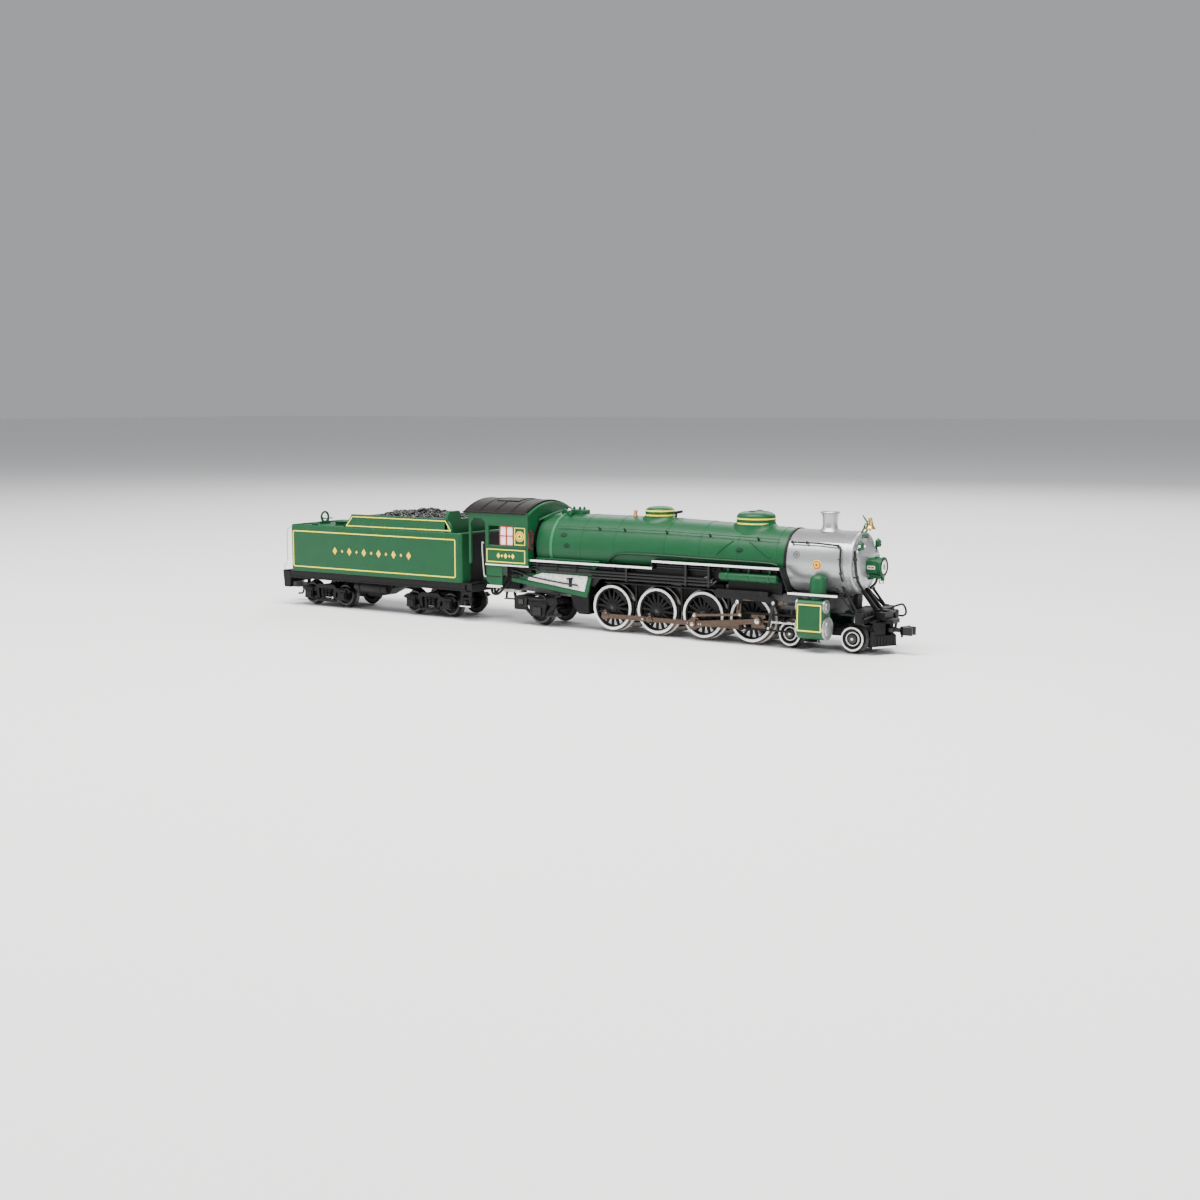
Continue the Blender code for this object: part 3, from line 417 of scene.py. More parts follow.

# boiler bands, seams and the band in front of the cab, drawn in a lighter green as a painted highlight
sh = Shape().use(GREEN)
for x in (-7.6, 1.2, 14.0, 22.6, 31.5, 40.6):
    z, r = barrel_at(x)
    prof = [(r - 0.05, -0.35), (r + 0.05, -0.3), (r + 0.05, 0.3), (r - 0.05, 0.35)]
    sh.turn((x, 0, z), (1, 0, 0), prof, 64, closed=True)
sh.use(GREEN_PAINTED_HIGHLIGHT)
z, r = barrel_at(-15.3)
sh.turn((-15.3, 0, z), (1, 0, 0), [(r - 0.05, -0.42), (r + 0.16, -0.34), (r + 0.16, 0.34), (r - 0.05, 0.42)], 64, closed=True)
sh.done("boiler_bands", "chassis", slot="green")

# firebox side with its pale stay-bolted sheet
sh = Shape()
bolts = Shape().use(STAYBOLT)
for side, s in SIDES:
    y = s * 7.9
    sh.use(GREEN)
    flat = [(-25.7, 9.55), (-25.7, 10.2), (-4.6, 8.6), (-4.2, 11.9), (-3.4, 11.9), (-4.9, 7.3), (-5.4, 7.15)]
    sh.prism([(-25.9, 9.5), (-5.3, 7.1), (-5.1, 8.15), (-25.9, 10.35)], "y", *sorted((y, y + s * 0.28)))
    sh.prism([(-5.95, 7.4), (-5.2, 7.1), (-3.9, 11.6), (-4.9, 11.7)], "y", *sorted((y, y + s * 0.26)))
    sh.use(STAYBOLT)
    sh.prism([(-21.4, 10.1), (-5.9, 8.3), (-5.0, 11.8), (-17.4, 11.9), (-21.4, 10.6)], "y", *sorted((y, y + s * 0.12)))
    for i in range(34):
        for k in range(9):
            px, pz = -21.0 + i * 0.48 + (k % 2) * 0.24, 8.6 + k * 0.36
            low = 10.2 - (px + 21.4) * 0.116
            high = min(11.75, 10.55 + (px + 21.4) * 0.33)
            if low + 0.12 < pz < high - 0.1 and px < -5.6 + (pz - 8.3) * 0.25:
                bolts.dome_bolt((px, y + s * 0.12, pz), (0, s, 0), 0.085, 0.06, 6)
    sh.use(BLACK)
    sh.box((-9.9, -9.2), (y, y + s * 0.45), (9.2, 11.2))
    sh.prism([(-10.6, 10.8), (-8.9, 11.0), (-8.9, 11.3), (-10.6, 11.15)], "y", *sorted((y, y + s * 0.4)))
sh.done("firebox_sheets", "chassis", bevel=0.04, slot="green")
bolts.done("firebox_staybolts", "chassis", slot="green")

# washout plugs, check valves and pipes on the barrel
sh = Shape().use(BLACK)
for s in (-1, 1):
    for x, deg in ((-12.2, 66), (-11.0, 84), (32.4, 74)):
        p = on_barrel(x, s * deg)
        d = radial(s * deg)
        z0 = barrel_at(x)[0]
        sh.turn(p, d, [(0.45, -0.1), (0.5, 0.1), (0.3, 0.14), (0.28, 0.04), (0, 0.04)][::-1], 14)
        # the pads round the plugs in the darker green: painted shade
        sh.use(GREEN_PAINTED_SHADE)
        q = [on_barrel(x + dx, s * (deg + dd), 0.05) for dx, dd in ((-0.8, -2.6), (0.8, -2.6), (0.8, 2.6), (-0.8, 2.6))]
        q2 = [on_barrel(x + dx, s * (deg + dd), 0.13) for dx, dd in ((-0.75, -2.3), (0.75, -2.3), (0.75, 2.3), (-0.75, 2.3))]
        sh.shell([[tuple(v) for v in q], [tuple(v) for v in q2]])
        sh.use(BLACK)
    # injector pipe that rises and runs forward along the barrel, in the darker green as painted shade
    path = smooth_path([on_barrel(0.0, s * 108, 0.3), on_barrel(1.2, s * 100, 0.3), on_barrel(3.0, s * 94, 0.3), on_barrel(6.5, s * 92, 0.3),
                        on_barrel(15.0, s * 92, 0.3), on_barrel(28.0, s * 93, 0.3), on_barrel(39.0, s * 94, 0.3), on_barrel(41.5, s * 97, 0.3)], 5)
    sh.use(GREEN_PAINTED_SHADE).tube(path, 0.26, 10)
    # sand pipes under the sand dome
    sh.use(GREEN)
    for a, b in ((30.6, 27.0), (34.4, 39.6)):
        path = [on_barrel(a + (b - a) * t, s * (58 + 26 * t), 0.06) for t in [i / 8 for i in range(9)]]
        sh.tube(path, 0.13, 8)
sh.done("boiler_pipes", "chassis", slot="green")

# turret, safety valves, whistle
sh = Shape().use(GREEN)
sh.prism(rounded(-16.4, -10.6, 24.6, 26.0, 0.35), "y", -1.5, 1.5)
for x in (-15.6, -14.0, -12.4, -11.2):
    sh.cyl((x, 0, 25.6), (x, 0, 26.35), 0.32, 12)
    sh.ball((x, 0, 26.4), 0.3, 12)
sh.tube(smooth_path([(-16.2, -1.2, 25.6), (-17.4, -2.6, 25.2), (-18.6, -4.4, 24.4), (-19.9, -5.6, 23.6)], 4), 0.28, 8)
sh.tube(smooth_path([(-16.2, 1.2, 25.6), (-17.4, 2.6, 25.2), (-18.6, 4.4, 24.4), (-19.9, 5.6, 23.6)], 4), 0.28, 8)
for s in (-1, 1):
    sh.cyl((-13.2, s * 1.4, 25.3), (-13.2, s * 2.9, 25.3), 0.25, 10)
    sh.turn((-13.2, s * 2.9, 25.3), (0, s, 0), [(0, -0.1), (0.62, -0.1), (0.66, 0.1), (0.3, 0.2), (0, 0.25)], 14)
sh.use(WHITE)
sh.turn((-13.9, -2.0, 25.9), (0, -1, 0), [(0, 0), (0.42, 0), (0.42, 0.25), (0, 0.28)], 14)
sh.done("steam_turret", "chassis", bevel=0.06, slot="green")
sh = Shape()
for x, y in ((3.1, -0.9), (2.0, 0.9)):
    zb = barrel_at(x)[0] + barrel_at(x)[1]
    sh.use(COPPER).turn((x, y, zb - 0.3), (0, 0, 1), [(0, 0), (0.48, 0), (0.48, 0.5), (0.36, 0.6), (0.36, 1.2), (0.45, 1.25), (0.45, 1.5), (0.16, 1.65), (0, 1.65)], 16)
sh.done("safety_valves", "chassis", slot="brass")
sh = Shape().use(BLACK_SATIN)
sh.cyl((12.9, 0.3, 25.2), (12.9, 0.3, 26.0), 0.24, 10)
sh.tube([(12.5, 0.3, 26.1), (14.4, 0.3, 26.5)], [0.34, 0.3], 12)
sh.done("whistle", "chassis", slot="black")


# domes
def dome(name, x, r, top, bands, node):
    zc, rb = barrel_at(x)
    sh = Shape().use(GREEN)
    prof = [(0, top), (r * 0.45, top - 0.04), (r * 0.72, top - 0.2), (r * 0.88, top - 0.48), (r * 0.97, top - 0.85), (r, top - 1.25)]
    n = 48
    rows = []
    made = []
    crown = sh.bm.verts.new((x, 0, top))
    for rr, z in prof[1:]:
        rows.append(sh.verts([(x + rr * math.cos(2 * math.pi * i / n), rr * math.sin(2 * math.pi * i / n), z) for i in range(n)]))
    # the skirt flares on to the barrel
    for k in range(1, 7):
        t = k / 6
        row = []
        for i in range(n):
            a = 2 * math.pi * i / n
            flare = r + 0.75 * max(0.0, t - 0.55) ** 1.6 / 0.28
            px, py = x + flare * math.cos(a), flare * math.sin(a)
            zc2, rb2 = barrel_at(px)
            seat = zc2 + math.sqrt(max(0.1, rb2 ** 2 - py ** 2)) - 0.06
            row.append((px, py, (top - 1.25) * (1 - t) + seat * t))
        rows.append(sh.verts(row))
    made += [sh.bm.faces.new((crown, rows[0][i], rows[0][(i + 1) % n])) for i in range(n)]
    for a, b in zip(rows, rows[1:]):
        made += [sh.bm.faces.new((a[i], b[i], b[(i + 1) % n], a[(i + 1) % n])) for i in range(n)]
    foot = sh.bm.verts.new((x, 0, zc + rb - 2.4))
    made += [sh.bm.faces.new((foot, rows[-1][(i + 1) % n], rows[-1][i])) for i in range(n)]
    sh.faces(made)
    sh.use(YELLOW)
    for z in bands:
        sh.turn((x, 0, z), (0, 0, 1), [(r - 0.05, -0.16), (r + 0.05, -0.13), (r + 0.05, 0.13), (r - 0.05, 0.16)], 64, closed=True)
    sh.done(name, "chassis", replaces=[node], slot="green", angle=50)


dome("dome_steam", 8.95, 3.3, 27.5, (26.55, 25.6), "steam_dome")
dome("dome_sand", 32.8, 4.15, 27.3, (25.75, 24.75), "sand_dome")
sh = Shape().use(GREEN)
for s in (-1, 1):
    sh.turn((32.8, s * 1.6, 27.15), (0, 0, 1), [(0, 0), (0.75, 0), (0.75, 0.22), (0.5, 0.3), (0, 0.3)][::1], 20)
sh.box((34.0, 35.4), (-0.7, 0.7), (27.0, 27.28))
sh.done("sand_dome_lids", "chassis", slot="green")

# handrails with their stanchions
sh = Shape().use(GREEN_PAINTED_HIGHLIGHT)
for s in (-1, 1):
    xs = [-13.5, -3.0, 3.6, 14.3, 24.9, 36.3, 41.2]
    sh.use(GREEN)
    sh.tube(smooth_path([on_barrel(x, s * 52, 0.62) for x in [-14.0] + xs], 5), 0.1, 8)
    sh.use(BLACK)
    for x in xs[1:-1]:
        d = radial(s * 52)
        sh.cyl(on_barrel(x, s * 52, -0.1), on_barrel(x, s * 52, 0.5), 0.11, 8)
        sh.ball(on_barrel(x, s * 52, 0.62), 0.21, 12)
        sh.turn(on_barrel(x, s * 52, 0.0), d, [(0, -0.1), (0.3, -0.1), (0.3, 0.08), (0, 0.12)], 10)
sh.done("boiler_handrails", "chassis", slot="green")

# ================================================================ smokebox
SM = (0, 17.5)
sh = Shape().use(SILVER)
sh.turn((0, 0, 17.5), (1, 0, 0), [(5.7, 42.97), (6.5, 42.97), (6.5, 56.3), (6.42, 57.0), (5.7, 57.0)], 96, closed=True)
sh.use(GRAPHITE)
for f in sh.bm.faces:
    c = f.calc_center_median()
    if math.degrees(math.atan2(abs(c.y), c.z - 17.5)) < 50:
        f.material_index = sh.mats.index(GRAPHITE)
sh.done("smokebox_shell", "chassis", replaces=["smokebox"], slot="silver")
sh = Shape().use(BLACK)
sh.turn((43.0, 0, 17.5), (1, 0, 0), [(6.4, -0.28), (6.74, -0.24), (6.74, 0.24), (6.4, 0.28)], 72, closed=True)
sh.done("smokebox_joint_ring", "chassis", slot="black")
sh = Shape().use(SILVER)
for x in (44.2, 55.3, 56.5):
    for i in range(72):
        deg = i * 5 - 180
        if abs(deg) > 140:
            continue
        t = math.radians(deg)
        sh.dome_bolt((x, 6.5 * math.sin(t), 17.5 + 6.5 * math.cos(t)), radial(deg), 0.12, 0.08, 7)
for s in (-1, 1):
    for i in range(14):
        t = math.radians(s * 100)
        sh.dome_bolt((45.0 + i * 0.75, 6.5 * math.sin(t), 17.5 + 6.5 * math.cos(t)), radial(s * 100), 0.1, 0.07, 6)
sh.done("smokebox_rivets", "chassis", slot="silver")

# smokebox front: ring, door, hinges, dogs and centre boss
sh = Shape().use(SILVER)
sh.turn((57.0, 0, 17.5), (1, 0, 0), [(0, 0.0), (6.42, 0.0), (6.42, 0.55), (6.2, 0.75), (5.35, 0.85), (5.15, 0.95), (5.1, 1.25), (4.9, 1.4), (3.6, 1.75), (2.0, 1.98), (0, 2.05)], 72)
for i in range(26):
    t = math.radians(i * 360 / 26)
    sh.dome_bolt((57.8, 5.75 * math.sin(t), 17.5 + 5.75 * math.cos(t)), (1, 0, 0), 0.17, 0.14, 8)
for i in range(12):
    t = math.radians(i * 30 + 15)
    c, s0 = math.sin(t), math.cos(t)
    sh.tube([(58.0, 5.35 * c, 17.5 + 5.35 * s0), (58.55, 4.75 * c, 17.5 + 4.75 * s0)], [0.2, 0.15], 8)
for dz in (1.7, -1.7):
    sh.box((58.2, 58.95), (0.4, 4.9), (17.5 + dz - 0.22, 17.5 + dz + 0.22))
sh.cyl((58.45, 4.9, 15.1), (58.45, 4.9, 19.9), 0.3, 12)
sh.done("smokebox_front_plate", "chassis", replaces=["smokebox_front"], bevel=0.05, slot="silver", angle=40)

# black smokebox handrail, over the side and down to the cylinder
sh = Shape().use(BLACK_SATIN)
for s in (-1, 1):
    def hr(x, deg, off=0.55):
        t = math.radians(s * deg)
        return (x, (6.5 + off) * math.sin(t), 17.5 + (6.5 + off) * math.cos(t))
    path = [hr(44.2, 54), hr(46.5, 54), hr(50, 54), hr(54.4, 56.5), hr(55.1, 58.5), hr(55.35, 62), hr(55.5, 72), hr(55.6, 90), hr(55.7, 108), hr(55.9, 118)]
    sh.tube(path, 0.2, 10)
    for x, deg in ((44.2, 54), (47.6, 54), (54.7, 57.5), (55.5, 80), (55.65, 104)):
        sh.cyl(hr(x, deg, -0.1), hr(x, deg, 0.5), 0.12, 8)
        sh.ball(hr(x, deg), 0.34, 12)
sh.done("smokebox_handrail", "chassis", slot="black")
# handrail over the front plate, curving down to the deck
sh = Shape().use(BLACK_SATIN)
for s in (-1, 1):
    path = smooth_path([(58.0, s * 5.1, 20.3), (58.3, s * 5.6, 18.6), (58.5, s * 5.7, 16.6), (58.6, s * 5.0, 14.6), (58.7, s * 3.6, 13.1), (58.5, s * 1.8, 12.3)], 6)
    sh.tube(path, 0.3, 10)
    for p in ((58.3, s * 5.55, 18.6), (58.6, s * 5.2, 15.0)):
        sh.cyl((57.6, p[1], p[2]), p, 0.16, 8)
        sh.ball(p, 0.42, 12)
sh.done("front_handrails", "chassis", slot="black")

# generic round emblem and small ring plate on the smokebox side
sh = Shape()
for s in (-1, 1):
    deg = s * 92.0
    c = (50.25, 6.5 * math.sin(math.radians(deg)), 17.5 + 6.5 * math.cos(math.radians(deg)))
    d = radial(deg)
    sh.use(GOLD).turn(c, d, [(0, -0.1), (1.02, -0.1), (1.02, 0.1), (0.84, 0.12), (0, 0.12)], 32)
    sh.use(RED).turn(c, d, [(0, 0.05), (0.82, 0.05), (0.82, 0.15), (0, 0.15)], 32)
    sh.use(GOLD).turn(c, d, [(0, 0.1), (0.6, 0.1), (0.6, 0.19), (0, 0.2)], 32)
    sh.use(RED).turn(c, d, [(0, 0.1), (0.3, 0.1), (0.3, 0.23), (0, 0.24)], 24)
    sh.use(GREY)
    deg = s * 75.0
    c = (45.5, 6.5 * math.sin(math.radians(deg)), 17.5 + 6.5 * math.cos(math.radians(deg)))
    sh.turn(c, radial(deg), [(0.55, -0.05), (0.7, -0.05), (0.7, 0.1), (0.55, 0.1)], 24, closed=True)
    sh.turn(c, radial(deg), [(0.0, -0.05), (0.3, -0.05), (0.28, 0.08), (0, 0.1)], 16)
sh.done("smokebox_emblems", "chassis", slot="silver")

# stack
sh = Shape().use(SILVER)
prof = [(1.25, 23.9), (1.25, 27.2), (1.55, 27.78), (1.85, 27.82), (2.0, 27.72), (2.05, 27.55), (1.98, 27.42), (1.78, 27.35), (1.6, 26.6), (1.52, 25.4), (1.55, 24.7), (1.75, 24.25), (2.15, 23.95), (2.3, 23.75), (1.9, 23.5)]
sh.turn((50.0, 0, 0), (0, 0, 1), prof, 48, closed=True)
sh.use(BLACK).turn((50.0, 0, 0), (0, 0, 1), [(0, 25.2), (1.24, 25.2), (1.24, 25.5), (0, 25.5)], 32)
sh.done("stack_casting", "chassis", replaces=["smokestack"], slot="silver", angle=40)

# bell in its bracket
sh = Shape().use(GREEN)
sh.tube(smooth_path([(57.2, 0.9, 23.3), (57.9, 1.1, 24.4), (58.3, 1.2, 25.4)], 4), 0.2, 8)
sh.tube(smooth_path([(57.2, -0.9, 23.3), (57.9, -1.1, 24.4), (58.3, -1.2, 25.4)], 4), 0.2, 8)
sh.box((56.7, 58.0), (-1.5, 1.5), (22.7, 23.4))
sh.cyl((58.4, -1.3, 25.6), (58.4, 1.3, 25.6), 0.17, 10)
sh.tube([(58.4, 0, 25.7), (57.6, 0, 26.8), (57.2, 0, 27.3)], [0.2, 0.17, 0.12], 8)
sh.done("bell_bracket", "chassis", bevel=0.05, slot="green")
sh = Shape().use(BRASS)
sh.turn((58.9, 0, 0), (0, 0, 1), [(0, 26.9), (0.25, 26.88), (0.42, 26.6), (0.5, 26.1), (0.62, 25.5), (0.85, 25.0), (1.12, 24.7), (1.15, 24.55), (0.95, 24.5), (0.7, 24.9), (0.4, 25.6), (0, 25.8)], 32)
sh.cyl((58.9, 0, 24.3), (58.9, 0, 25.8), 0.1, 8)
sh.ball((58.9, 0, 24.35), 0.24, 10)
sh.done("bell", "chassis", slot="brass")

# marker lamps
sh = Shape()
for s in (-1, 1):
    c = Vector((58.9, s * 4.24, 21.35))
    sh.use(GREEN)
    sh.turn(c, (0, 0, 1), [(0, -0.75), (0.55, -0.75), (0.62, -0.6), (0.62, 0.5), (0.45, 0.75), (0.18, 0.85), (0.18, 1.0), (0, 1.05)], 20)
    sh.tube([(57.6, s * 4.0, 20.6), (58.5, s * 4.1, 20.5), (58.9, s * 4.24, 20.7)], 0.17, 8)
    sh.cyl(c + Vector((0.3, 0, 0)), c + Vector((0.75, 0, 0)), 0.36, 16)
    sh.cyl(c + Vector((0, s * 0.3, 0)), c + Vector((0, s * 0.75, 0)), 0.36, 16)
    sh.use(LENS)
    sh.ball(c + Vector((0.75, 0, 0)), 0.27, 12)
    sh.ball(c + Vector((0, s * 0.75, 0)), 0.27, 12)
sh.done("marker_lamps", "chassis", slot="green")

# headlight
sh = Shape().use(GREEN)
c = (0, 0, 16.95)
sh.turn(c, (1, 0, 0), [(0, 58.9), (1.35, 58.95), (1.75, 59.2), (1.86, 59.5), (1.86, 61.6), (2.02, 61.7), (2.05, 62.15), (1.9, 62.2), (1.72, 62.2), (1.6, 61.9), (0, 61.7)], 48)
sh.prism([(59.4, 14.6), (61.8, 14.6), (61.8, 15.3), (59.4, 15.6)], "y", -1.25, 1.25)
sh.box((58.6, 61.4), (-1.9, -1.8), (15.8, 18.2))
sh.box((58.6, 61.4), (1.8, 1.9), (15.8, 18.2))
sh.tube([(58.2, 0, 14.2), (59.6, 0, 14.6)], 0.3, 8)
sh.turn((60.6, 0, 0), (0, 0, 1), [(0, 18.5), (0.62, 18.5), (0.62, 18.9), (0.4, 19.05), (0, 19.1)], 20)
sh.use(GREEN).box((61.6, 62.1), (-0.55, 0.55), (14.1, 15.1))
sh.done("headlight_case", "chassis", replaces=["headlight"], bevel=0.05, slot="green", angle=40)
sh = Shape().use(GREY)
sh.turn(c, (1, 0, 0), [(0, 61.75), (1.4, 61.75), (1.4, 61.9), (1.0, 62.06), (0.5, 62.14), (0, 62.16)], 40)
sh.use(LENS).turn(c, (1, 0, 0), [(0.55, 61.95), (1.42, 61.85), (1.42, 62.12), (1.1, 62.2), (0.6, 62.2)], 48, closed=True)
sh.use(BLACK_SATIN).turn(c, (1, 0, 0), [(1.4, 61.8), (1.8, 61.8), (1.8, 62.28), (1.64, 62.34), (1.44, 62.22)], 48, closed=True)
sh.done("headlight_lens", "chassis", slot="silver")
sh = Shape()
for s in (-1, 1):
    sh.use(WHITE).box((59.3, 60.95), (s * 1.84, s * 1.96), (16.55, 17.2))
    sh.use(RED).box((59.42, 60.83), (s * 1.86, s * 1.985), (16.68, 17.07))
    sh.use(WHITE).box((60.05, 60.15), (s * 1.86, s * 1.99), (16.68, 17.12))
sh.done("headlight_side_plates", "chassis", slot="silver")

# ================================================================ walkways, air tanks and pipes beneath
def grid_panel(sh, us, vs, keep, axis, lo, hi):
    """A flat wall made of grid cells, leaving out those that keep() refuses."""
    def lift(u, v, w):
        return {"x": (w, u, v), "y": (u, w, v), "z": (u, v, w)}[axis]
    layers = []
    cache = {}

    def vert(i, j, k):
        if (i, j, k) not in cache:
            cache[i, j, k] = sh.bm.verts.new(lift(us[i], vs[j], (lo, hi)[k]))
        return cache[i, j, k]
    cells = {(i, j) for i in range(len(us) - 1) for j in range(len(vs) - 1)
             if keep((us[i] + us[i + 1]) / 2, (vs[j] + vs[j + 1]) / 2)}
    made = []
    for i, j in cells:
        made.append(sh.bm.faces.new((vert(i, j, 0), vert(i, j + 1, 0), vert(i + 1, j + 1, 0), vert(i + 1, j, 0))))
        made.append(sh.bm.faces.new((vert(i, j, 1), vert(i + 1, j, 1), vert(i + 1, j + 1, 1), vert(i, j + 1, 1))))
        for (di, dj), (a, b) in {(-1, 0): ((i, j), (i, j + 1)), (1, 0): ((i + 1, j + 1), (i + 1, j)),
                                 (0, -1): ((i + 1, j), (i, j)), (0, 1): ((i, j + 1), (i + 1, j + 1))}.items():
            if (i + di, j + dj) not in cells:
                made.append(sh.bm.faces.new((vert(*a, 0), vert(*b, 0), vert(*b, 1), vert(*a, 1))))
    sh.faces(made)


for side, s in SIDES:
    sh = Shape().use(BLACK)
    for x0, x1, z in ((-20.2, 12.2, 14.6), (12.2, 43.0, 16.1)):
        sh.box((x0, x1), (s * 7.0, s * 8.8), (z, z + 0.3))
        sh.box((x0, x1), (s * 8.6, s * 8.8), (z - 0.25, z + 0.1))
        n = int((x1 - x0) / 5)
        for i in range(n):
            bx = x0 + 2.2 + i * (x1 - x0 - 3) / n
            sh.prism([(s * 8.5, z), (s * 6.6, z), (s * 6.4, z - 1.6), (s * 6.8, z - 1.7)], "x", bx, bx + 0.3)
    sh.prism([(11.9, 14.5), (12.3, 14.5), (12.3, 16.3), (11.9, 16.3)], "y", *sorted((s * 7.2, s * 8.8)))
    # over the cylinder and down to the deck
    sh.prism([(43.0, 16.1), (43.0, 16.4), (43.4, 16.4), (45.2, 11.6), (56.2, 11.6), (56.2, 11.3), (45.0, 11.3), (43.1, 16.1)], "y", *sorted((s * 7.0, s * 9.3)))
    sh.use(WHITE)
    for x0, x1, z in ((-20.2, 12.2, 14.6), (12.2, 43.0, 16.1)):
        sh.box((x0, x1), (s * 8.8, s * 8.86), (z - 0.14, z + 0.3))
    sh.box((45.1, 56.2), (s * 9.3, s * 9.36), (11.2, 11.62))
    sh.use(BLACK)
    # tread studs on the boards
    for x0, x1, z in ((-19.8, 12.0, 14.9), (12.6, 42.8, 16.4)):
        n = int((x1 - x0) / 1.0)
        for i in range(n):
            for k in range(2):
                sh.box((x0 + i + 0.1, x0 + i + 0.7), (s * (7.75 + k * 0.5), s * (8.0 + k * 0.5)), (z, z + 0.045))
    # injector and brake pipes in three tiers
    sh.use(BLACK_SATIN)
    for z, x0, x1, y, r in ((13.1, -17.5, 25.0, 8.15, 0.26), (12.45, -15.5, 26.0, 8.3, 0.22), (11.75, -4.0, 26.4, 8.1, 0.24)):
        sh.tube(smooth_path([(x0 - 0.6, s * 7.3, z - 0.7), (x0, s * y, z), (x0 + 3, s * y, z), (x1 - 3, s * y, z), (x1, s * y, z + 0.1), (x1 + 0.9, s * 7.2, z + 0.9)], 4), r, 8)
    for x in (5.2, 20.2, 25.8):
        sh.box((x, x + 0.5), (s * 7.3, s * 8.55), (11.3, 14.6 if x < 12 else 16.1))
    # pipes between the walkway and the tank, and a black sheet behind them all: painted shade under the walkway
    for z in (14.9, 15.4):
        sh.tube([(13.0, s * 7.9, z), (27.2, s * 7.9, z)], 0.16, 8)
    sh.use(BLACK).prism([(-6.8, 11.5), (27.2, 11.5), (27.2, 13.2), (41.6, 13.2), (41.6, 15.9), (12.4, 15.9), (12.4, 14.5), (-3.0, 14.5)], "y", *sorted((s * 7.2, s * 6.7)))
    sh.prism([(30.0, 11.2), (42.6, 10.6), (42.6, 13.4), (30.0, 13.4)], "y", *sorted((s * 6.9, s * 6.3)))
    sh.done(f"walkway_{side}", "chassis", replaces=[f"running_board_{side}"], bevel=0.04, slot="black")
    sh = Shape().use(GREEN)
    sh.turn((0, s * 7.75, 13.95), (1, 0, 0), [(0, 28.3), (0.5, 28.35), (0.85, 28.6), (0.95, 29.0), (0.95, 41.6), (0.85, 42.0), (0.5, 42.25), (0, 42.3)], 32)
    for x in (30.4, 35.3, 40.2):
        sh.turn((x, s * 7.75, 13.95), (1, 0, 0), [(0.9, -0.25), (1.06, -0.2), (1.06, 0.2), (0.9, 0.25)], 32, closed=True)
        sh.box((x - 0.2, x + 0.2), (s * 7.55, s * 7.95), (14.8, 16.1))
    sh.done(f"air_tank_{side}", "chassis", bevel=0.03, slot="green")
    # piping around the firebox, under the cab and over the trailing truck
    sh = Shape().use(BLACK_SATIN)
    for z, r in ((13.9, 0.2), (13.3, 0.2), (12.7, 0.22)):
        sh.tube([(-20.0, s * 8.2, z), (-4.2, s * 8.2, z)], r, 8)
    sh.tube(smooth_path([(-26.0, s * 8.0, 12.2), (-23.0, s * 8.3, 11.6), (-20.0, s * 8.35, 10.9), (-12.0, s * 8.35, 10.0), (-7.5, s * 8.3, 9.7)], 5), 0.2, 8)
    sh.use(BLACK)
    for x in (-18.4, -13.2, -8.0):
        sh.box((x, x + 0.4), (s * 7.9, s * 8.5), (12.4, 14.6))
    # injector
    sh.turn((-24.6, s * 7.8, 11.0), (1, 0, 0), [(0, -1.6), (0.35, -1.6), (0.35, -0.9), (0.62, -0.8), (0.62, 0.5), (0.4, 0.7), (0.4, 1.6), (0, 1.6)], 14)
    sh.cyl((-24.6, s * 7.8, 11.4), (-24.6, s * 7.8, 12.9), 0.2, 8)
    sh.done(f"firebox_pipes_{side}", "chassis", bevel=0.03, slot="black")

# black frame plates and cross-members seen behind the wheels
sh = Shape().use(BLACK)
sh.prism([(-6.3, 2.9), (-6.3, 7.3), (-11.4, 8.0), (-10.4, 4.6), (-9.0, 2.9)], "y", -5.7, 5.7)
sh.box((-15.5, -6.2), (-6.4, 6.4), (7.25, 9.0))
for s in (-1, 1):
    sh.prism([(-7.6, 7.2), (13.5, 7.2), (13.5, 11.4), (-4.2, 11.4)], "y", *sorted((s * 3.06, s * 3.5)))
    sh.prism([(16.5, 7.4), (27.1, 7.4), (27.1, 11.5), (16.5, 11.5)], "y", *sorted((s * 3.06, s * 3.5)))
    for x in (5.8, 17.4, 28.97):
        # brake hangers and shoes between the drivers
        sh.box((x - 0.25, x + 0.25), (s * 4.4, s * 5.0), (5.2, 10.4))
        sh.prism([(x - 0.9, 3.6), (x - 0.4, 3.4), (x - 0.3, 6.4), (x - 0.8, 6.6)], "y", *sorted((s * 4.45, s * 5.3)))
    sh.tube([(-2.0, s * 5.4, 10.6), (38.0, s * 5.4, 10.6)], 0.3, 8)
    for x in (-0.8, 5.8, 17.4, 28.97):
        sh.box((x - 0.2, x + 0.2), (s * 3.0, s * 5.5), (10.3, 10.9))
sh.done("brake_gear", "chassis", bevel=0.04, slot="black")

# ================================================================ cab
sh = Shape().use(GREEN)
ROOF_R = (9.6 ** 2 + 2.8 ** 2) / 5.6


def roof_z(y, inset=0.0):
    return 25.16 + 2.8 - ROOF_R + math.sqrt((ROOF_R - inset) ** 2 - y * y)


def roof_line(inset, half, steps=28):
    return [(half - 2 * half * i / steps, roof_z(half - 2 * half * i / steps, inset)) for i in range(steps + 1)]


